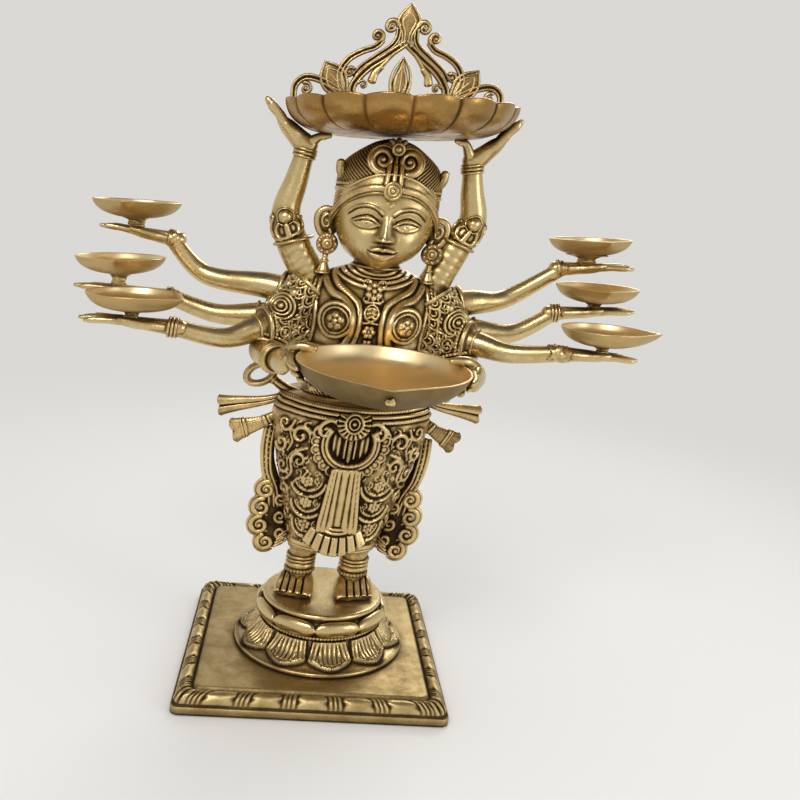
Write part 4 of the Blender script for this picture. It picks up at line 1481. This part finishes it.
def crest_curl(u, v, radius, start, turns, wide, end, turn=1):
    """A curl of the crest that thins inwards, with a peg in its eye."""
    t = np.linspace(0, 1, 26)
    angle = start + turns * TAU * t
    run = [(u + p * math.cos(b), v + p * math.sin(b)) for p, b in zip(radius * (1 - 0.8 * t), angle)]
    x, y, z = crest_place(turn * u, v)
    peg = tube([(x, y - 2.4, z), (x, y + 2.4, z)], (1.7, 1.7), hint=(1, 0, 0), steps=6, around=14)
    return [crest_rod(run, np.linspace(wide, end, 26) / 2, [2.5] * 26, 60, 14, turn), peg]


def make_crest():
    parts = []
    for turn in (-1, 1):
        for start, end, ribs, points in (
                (7, 7.6, 2, ((0, 50), (9, 43), (18, 36), (29, 28), (38, 18), (42.5, 8), (39, -3))),
                (5.4, 5, 2, ((8, 60), (8.5, 53), (13, 46), (24, 37.5), (36, 28), (42, 20))),
                (5.6, 6.8, 2, ((21, 51), (27, 45), (38, 40.5), (49, 33), (55, 21), (52, 8), (45, -3))),
                (3.6, 5, 1, ((9, 41), (14, 35), (18, 30), (22, 25))),
                (6, 9, 1, ((19, 28), (23.5, 23), (25.5, 16))),
                (7.2, 6, 2, ((44, -2), (56, 7), (70, 14), (84, 16), (92.5, 9), (93, -3))),
                (4.2, 4.2, 2, ((4, -2), (10, 1), (15, 0), (18, -4)))):
            parts += crest_bar(points, start, end, turn, ribs)
        for shape in ((14.5, 63, 6.5, 2.9, -1.25, 5.0, 2.6), (26, 54.5, 5.4, 3.9, -1.25, 4.8, 2.4),
                      (46, 22, 4.6, 2.2, -1.1, 4.0, 2.2), (83, 6, 5.4, 1.2, 1.15, 4.0, 2.4),
                      (33, 12, 4.2, 0.4, 1.1, 2.8, 1.6), (10, 3, 4.0, 2.6, -1.1, 2.8, 1.6)):
            parts += crest_curl(*shape, turn)
        # side leaf of nested chevrons, then the outlines of the flame leaf and of the drop under it
        leaf = ((48, 2), (56, 12), (62, 19), (67, 26))
        parts.append(crest_rod(leaf, (6, 10.2, 10, 5), (1.9, 1.9, 1.9, 1.6), 24, 26, turn, 0.3))
        for girth, deep, paths in (
                ((1.5, 1.6, 1.5, 1.1), (2.4, 2.4, 2.4, 2.2),
                 (((47, 1), (64, 5), (71, 16), (69, 30)), ((46, 5), (49, 19), (56, 26.5), (69, 30)),
                  ((50, 5), (62, 9.5), (66, 16), (66, 24.5)), ((49, 9), (53, 19), (58, 23), (66, 24.5)),
                  ((51, 8), (57, 14), (62.5, 20)))),
                ((1.5, 1.5, 1.6, 0.9), (2.5, 2.5, 2.5, 1.8),
                 (((4.6, 47), (4.4, 57), (9.6, 69.5), (0.6, 83)), ((2, 50), (2.2, 58), (5.6, 68.5), (0.5, 76)))),
                ((0.9, 1.5, 1.7, 1.4), (1.8, 2.4, 2.5, 2.3),
                 (((0.4, 37.5), (7.5, 25), (8.6, 12), (3.2, -4)), ((0.4, 30), (4.4, 21), (4.8, 12), (1.6, 1))))):
            parts += [crest_rod(path, girth, deep, 36, 14, turn) for path in paths]
    for heights, girth, deep, steps, around, carve in (
            ((48, 56, 64, 69, 75, 81), (5.2, 5.2, 7.4, 9.4, 6.6, 2.0), (1.9, 1.9, 1.9, 1.9, 1.8, 1.4), 30, 26, 0.3),
            ((-4, 6, 14, 24, 35), (3, 7.0, 7.6, 5.2, 1.2), (1.9, 2.0, 2.0, 1.9, 1.4), 30, 26, 0.3),
            ((-4, 10, 26), (1.0, 1.3, 0.7), (2.5, 2.6, 2.0), 20, 12, 0.0)):
        parts.append(crest_rod([(0, v) for v in heights], girth, deep, steps, around, carve=carve))

    # foot of the crest, fitted to the inside of the bowl
    count, around = 140, 16
    u = np.linspace(-93, 93, count)
    share = np.clip((np.hypot(u + CREST_X, CREST_Y) - DISH_FLOOR) / (DISH_RIM - DISH_FLOOR), 0, 1)
    deep = -DISH_DEEP * np.sqrt(1 - share ** DISH_POWER) + 1.6
    top = np.full(count, -2.2) + CREST_SLANT * u + CREST_BASE
    low = np.minimum(DISH_AT[2] + DISH_TILT * (u + CREST_X) + deep, top - 1.0)
    a = np.linspace(0, TAU, around, endpoint=False)
    square = np.sign(np.sin(a)) * np.abs(np.sin(a)) ** 0.6
    rows = np.stack([u[:, None] + CREST_X + 0 * a, CREST_Y - 2.4 * np.cos(a) + 0 * u[:, None],
                     ((top + low) / 2)[:, None] + ((top - low) / 2)[:, None] * square], -1)
    parts.append(net(rows, 0.5))
    for k in range(-5, 6):
        x = 15.0 * k
        end = np.interp(x, u, low) - CREST_BASE - CREST_SLANT * x
        for wide, high, wire in ((6.6, 3.0, 1.4), (3.4, 8.0, 1.1)):
            petal = ((x - wide, -4), (x - 0.9 * wide, 0.5 * end), (x, end + high), (x + 0.9 * wide, 0.5 * end),
                     (x + wide, -4))
            parts.append(crest_rod(petal, (wire, wire, wire), (3.3, 3.3, 3.3), 46, 12))
        parts.append(crest_rod([(x, v) for v in (-5, 0.4 * end, 0.6 * end)], (1.2, 1.0, 0.6), (3.1, 3.1, 2.8), 16, 12))
    for v, wire in ((-2.6, 1.4), (-5.6, 1.0)):
        parts.append(crest_rod([(x, v) for x in (-89, -30, 30, 89)], (wire, wire, wire), (3.4, 3.4, 3.4), 70, 12))
    return placed(parts)


add_piece("crest_casting", make_crest(), "dish_crest", antique_brass)

# The two front arms with short carved sleeves, and hands that hold the large lamp by its edge.
# The forearms are smooth; three bracelets sit at each wrist.
LAMP_AT, LAMP_RADIUS, LAMP_DEEP = (11, -110, 246), 71, 29


def make_front_arm(side):
    lamp_x, lamp_y, lamp_z = LAMP_AT
    elbow = np.array((side * 86, -22, 234.0))
    wrist = np.array((side * (lamp_x * side + LAMP_RADIUS + 12), -68, 233.0))
    points, S, Z = limb_net([(side * 54, -6, 290), (side * 79, -14, 258), elbow + (0, 0.5, 1.5)],
                            (19.2, 19.0, 18.2, 17.4, 16.6, 15.6, 15.0), 150, 230)
    h = np.zeros(S.shape)
    mx, mz = -side * 9, 31
    carve_sleeve(h, S, Z, Z.max() - 1.5)
    h = np.where(np.hypot((S - mx) / 1.15, Z - mz) < 13.5, 0.1, h)
    for radius, half in ((11.6, 1.5), (8.2, 1.3), (5.0, 1.1)):
        cord(h, S, Z, arc(mx, mz, radius * 1.1, 0, 360, 0.85, 40), half, 2.4)
    bead(h, S, Z, mx, mz, 2.6, 2.0)
    bead(h, S, Z, mx, mz - 15.5, 4.2, 3.4)
    cord(h, S, Z, arc(mx, mz - 15.5, 5.6, 0, 360), 0.8, 1.4)
    h[-3:] *= 0.3
    middle = (elbow + wrist) / 2 - (0, 0, 1.5)
    lower = [elbow + (-side * 2, 6, 4), elbow + (side * 0.5, -2, -0.5), middle, wrist + (0, 3, 0)]
    parts = [carved_net(points, h), tube(lower, (11, 14.0, 12.6, 10.6, 9.2), steps=70, around=56)]
    way = unit(wrist - middle)
    for k, wire in ((-17, 1.7), (-13.2, 1.5), (-9.4, 1.7)):
        parts.append(hoop(wrist + way * k, way, 9.9 - 0.14 * k, 9.9 - 0.14 * k, wire, 60))

    # the palm under the lamp's edge, four fingers round its wall and the thumb over its rim
    edge = lamp_x + side * (LAMP_RADIUS + 2)
    palm = [wrist + (0, 6, 0), wrist + (0, -1, 0.6), (edge + side * 8, -78, 235), (edge + side * 6, -88, 236),
            (edge + side * 5, -94, 236)]
    waxes = [tube(palm, (9.0, 8.6, 7.6, 6.0, 4.2), (9.0, 9.4, 11.4, 10.4, 8.4), hint=(0, 0, 1), steps=40, around=40)]
    for f in range(4):
        drop = 3.0 + 6.0 * f
        wall = LAMP_RADIUS * math.sqrt(1 - (drop / 30) ** 2) + 3.4
        path = []
        for k, (v, out) in enumerate(zip((-34, -17, -4, 8, 20 - 5 * f), (1.5, 1.6, 0.6, 0.3, -0.8))):
            v = math.radians(v)
            path.append((lamp_x + side * (wall + out) * math.cos(v), lamp_y - (wall + out) * math.sin(v) + 6,
                         lamp_z - drop - 0.8 * k))
        waxes.append(tube(path, (3.4, 3.5, 3.1, 3.3, 2.9, 2.2), steps=46, around=20))
    thumb = [(edge + side * 9, -73, 238), (edge + side * 5, -80, 244.5), (edge - side * 1, -84.5, 249.0),
             (edge - side * 9, -87, 250.2), (edge - side * 16, -88.5, 249.6)]
    waxes.append(tube(thumb, (5.6, 5.4, 4.6, 4.7, 4.2, 3.2), steps=46, around=22))
    parts.append(hugged(fused(waxes, 0.6), LAMP_AT, 0.0, 0.2 * LAMP_RADIUS, LAMP_RADIUS, LAMP_DEEP, 2.0))
    return placed(parts)


for word, side in (("left", -1), ("right", 1)):
    add_piece(f"front_arm_casting_{word}", make_front_arm(side), f"front_arm_{word}", satin_brass)

# The large oil lamp in the front hands: a wide bowl with one spout towards the front, turned and rubbed smooth.
# A faint fold runs from the spout, and a drop of solder is left under its tip.


def make_front_lamp():
    points, marks = bowl(LAMP_RADIUS, 84, LAMP_DEEP, 2.6, 14.2, 420, crease=0.5, seed=7, tone=1.15)
    drop = solder((11, -187.0, 232.6), (0.1, 0.8, -0.6), 3.2, 1.3, 3.0, 23, 0.3, 0.3)
    return placed([net(posed(points, LAMP_AT, -90, 0, 0.045), marks), drop])


add_piece("front_lamp_bowl", make_front_lamp(), "front_oil_lamp", lamp_brass)

# The floor, the camera and the lamps: a plain pale studio seen from the photograph's place.
# The camera looks down a little and is held at a slant, as the photograph was taken.
floor_mesh = bpy.data.meshes.new("studio_floor")
floor_mesh.from_pydata([(x, y, -0.0005) for x, y in ((-30, -30), (30, -30), (30, 30), (-30, 30))], [], [(0, 1, 2, 3)])
floor = bpy.data.objects.new("studio_floor", floor_mesh)
bpy.context.scene.collection.objects.link(floor)
paper = bpy.data.materials.new("floor_paper")
paper.use_nodes = True
sheet = paper.node_tree.nodes
sheet["Principled BSDF"].inputs["Base Color"].default_value = (0.72, 0.71, 0.69, 1)
sheet["Principled BSDF"].inputs["Roughness"].default_value = 0.85
BACKDROP = (0.70, 0.69, 0.67, 1)
away_from_lamp = shade_node(sheet, "VectorMath", (0, shade_node(sheet, "TexCoord", out="Object")), operation="LENGTH",
                            out="Value")
fade_out = shade_node(sheet, "MapRange", ("Value", away_from_lamp), ("From Min", 0.35), ("From Max", 1.6),
                      interpolation_type="SMOOTHSTEP")
blend_in = shade_node(sheet, "MixShader", (0, fade_out), (1, sheet["Principled BSDF"].outputs[0]),
                      (2, shade_node(sheet, "Emission", ("Color", BACKDROP))))
link(sheet, blend_in, sheet["Material Output"].inputs["Surface"])
floor.data.materials.append(paper)

CAMERA_AT = np.array([-56.93, -782.63, 442.41]) / 1000
CAMERA_YAW, CAMERA_PITCH, CAMERA_ROLL = math.radians(6.78), math.radians(12.4), math.radians(6.5)
FOCAL_PIXELS, PICTURE_PIXELS, SENSOR = 910, 800, 36.0
ahead = np.array([math.sin(CAMERA_YAW) * math.cos(CAMERA_PITCH), math.cos(CAMERA_YAW) * math.cos(CAMERA_PITCH),
                  -math.sin(CAMERA_PITCH)])
level = unit(np.cross(ahead, [0, 0, 1]))
over = np.cross(level, ahead)
right = level * math.cos(CAMERA_ROLL) + over * math.sin(CAMERA_ROLL)
up = over * math.cos(CAMERA_ROLL) - level * math.sin(CAMERA_ROLL)
camera_data = bpy.data.cameras.new("studio_camera")
camera_data.sensor_width = SENSOR
camera_data.lens = SENSOR * FOCAL_PIXELS / PICTURE_PIXELS
camera_data.clip_start = 0.01
camera = bpy.data.objects.new("studio_camera", camera_data)
bpy.context.scene.collection.objects.link(camera)
camera.matrix_world = Matrix([[right[k], up[k], -ahead[k], CAMERA_AT[k]] for k in range(3)] + [[0, 0, 0, 1]])
bpy.context.scene.camera = camera


def soft_lamp(name, place, aim, size, power, colour=(1, 1, 1)):
    """A square soft lamp of the studio, aimed at a place on the figure."""
    data = bpy.data.lights.new(name, "AREA")
    data.shape, data.size, data.size_y = "RECTANGLE", size[0], size[1]
    data.energy, data.color = power, colour
    made = bpy.data.objects.new(name, data)
    bpy.context.scene.collection.objects.link(made)
    back = unit(np.array(place, float) - np.array(aim, float))
    side = unit(np.cross([0, 0, 1], back))
    top = np.cross(back, side)
    made.matrix_world = Matrix([[side[k], top[k], back[k], place[k]] for k in range(3)] + [[0, 0, 0, 1]])


soft_lamp("key_lamp", (-0.55, -1.25, 1.5), (0, 0, 0.3), (0.7, 0.5), 13, (1, 0.98, 0.94))
soft_lamp("fill_lamp", (1.3, -0.9, 0.7), (0, 0, 0.3), (0.5, 0.9), 5, (0.95, 0.98, 1))
soft_lamp("back_lamp", (0.5, 1.3, 1.3), (0, 0, 0.35), (0.9, 0.5), 8)

world = bpy.data.worlds.new("pale_studio")
bpy.context.scene.world = world
world.use_nodes = True
sky = world.node_tree.nodes
height_of_ray = shade_node(sky, "SeparateXYZ", (0, shade_node(sky, "TexCoord", out="Generated")), out="Z")
climb = shade_node(sky, "MapRange", ("Value", height_of_ray), ("From Min", 0.34), ("From Max", 0.85))
seen = shade_node(sky, "Mix", (0, climb), (6, BACKDROP), (7, (0.10, 0.10, 0.10, 1)), data_type="RGBA", out=2)
rays = sky.new("ShaderNodeLightPath")
either = shade_node(sky, "Math", (0, rays.outputs["Is Camera Ray"]), (1, rays.outputs["Is Glossy Ray"]),
                    operation="MAXIMUM")
also = shade_node(sky, "Math", (0, either), (1, rays.outputs["Is Transmission Ray"]), operation="MAXIMUM")
shown = shade_node(sky, "Mix", (0, also), (6, (0.80, 0.80, 0.80, 1)), (7, seen), data_type="RGBA", out=2)
link(sky, shown, sky["Background"].inputs["Color"])
bpy.context.scene.view_settings.view_transform = "Standard"
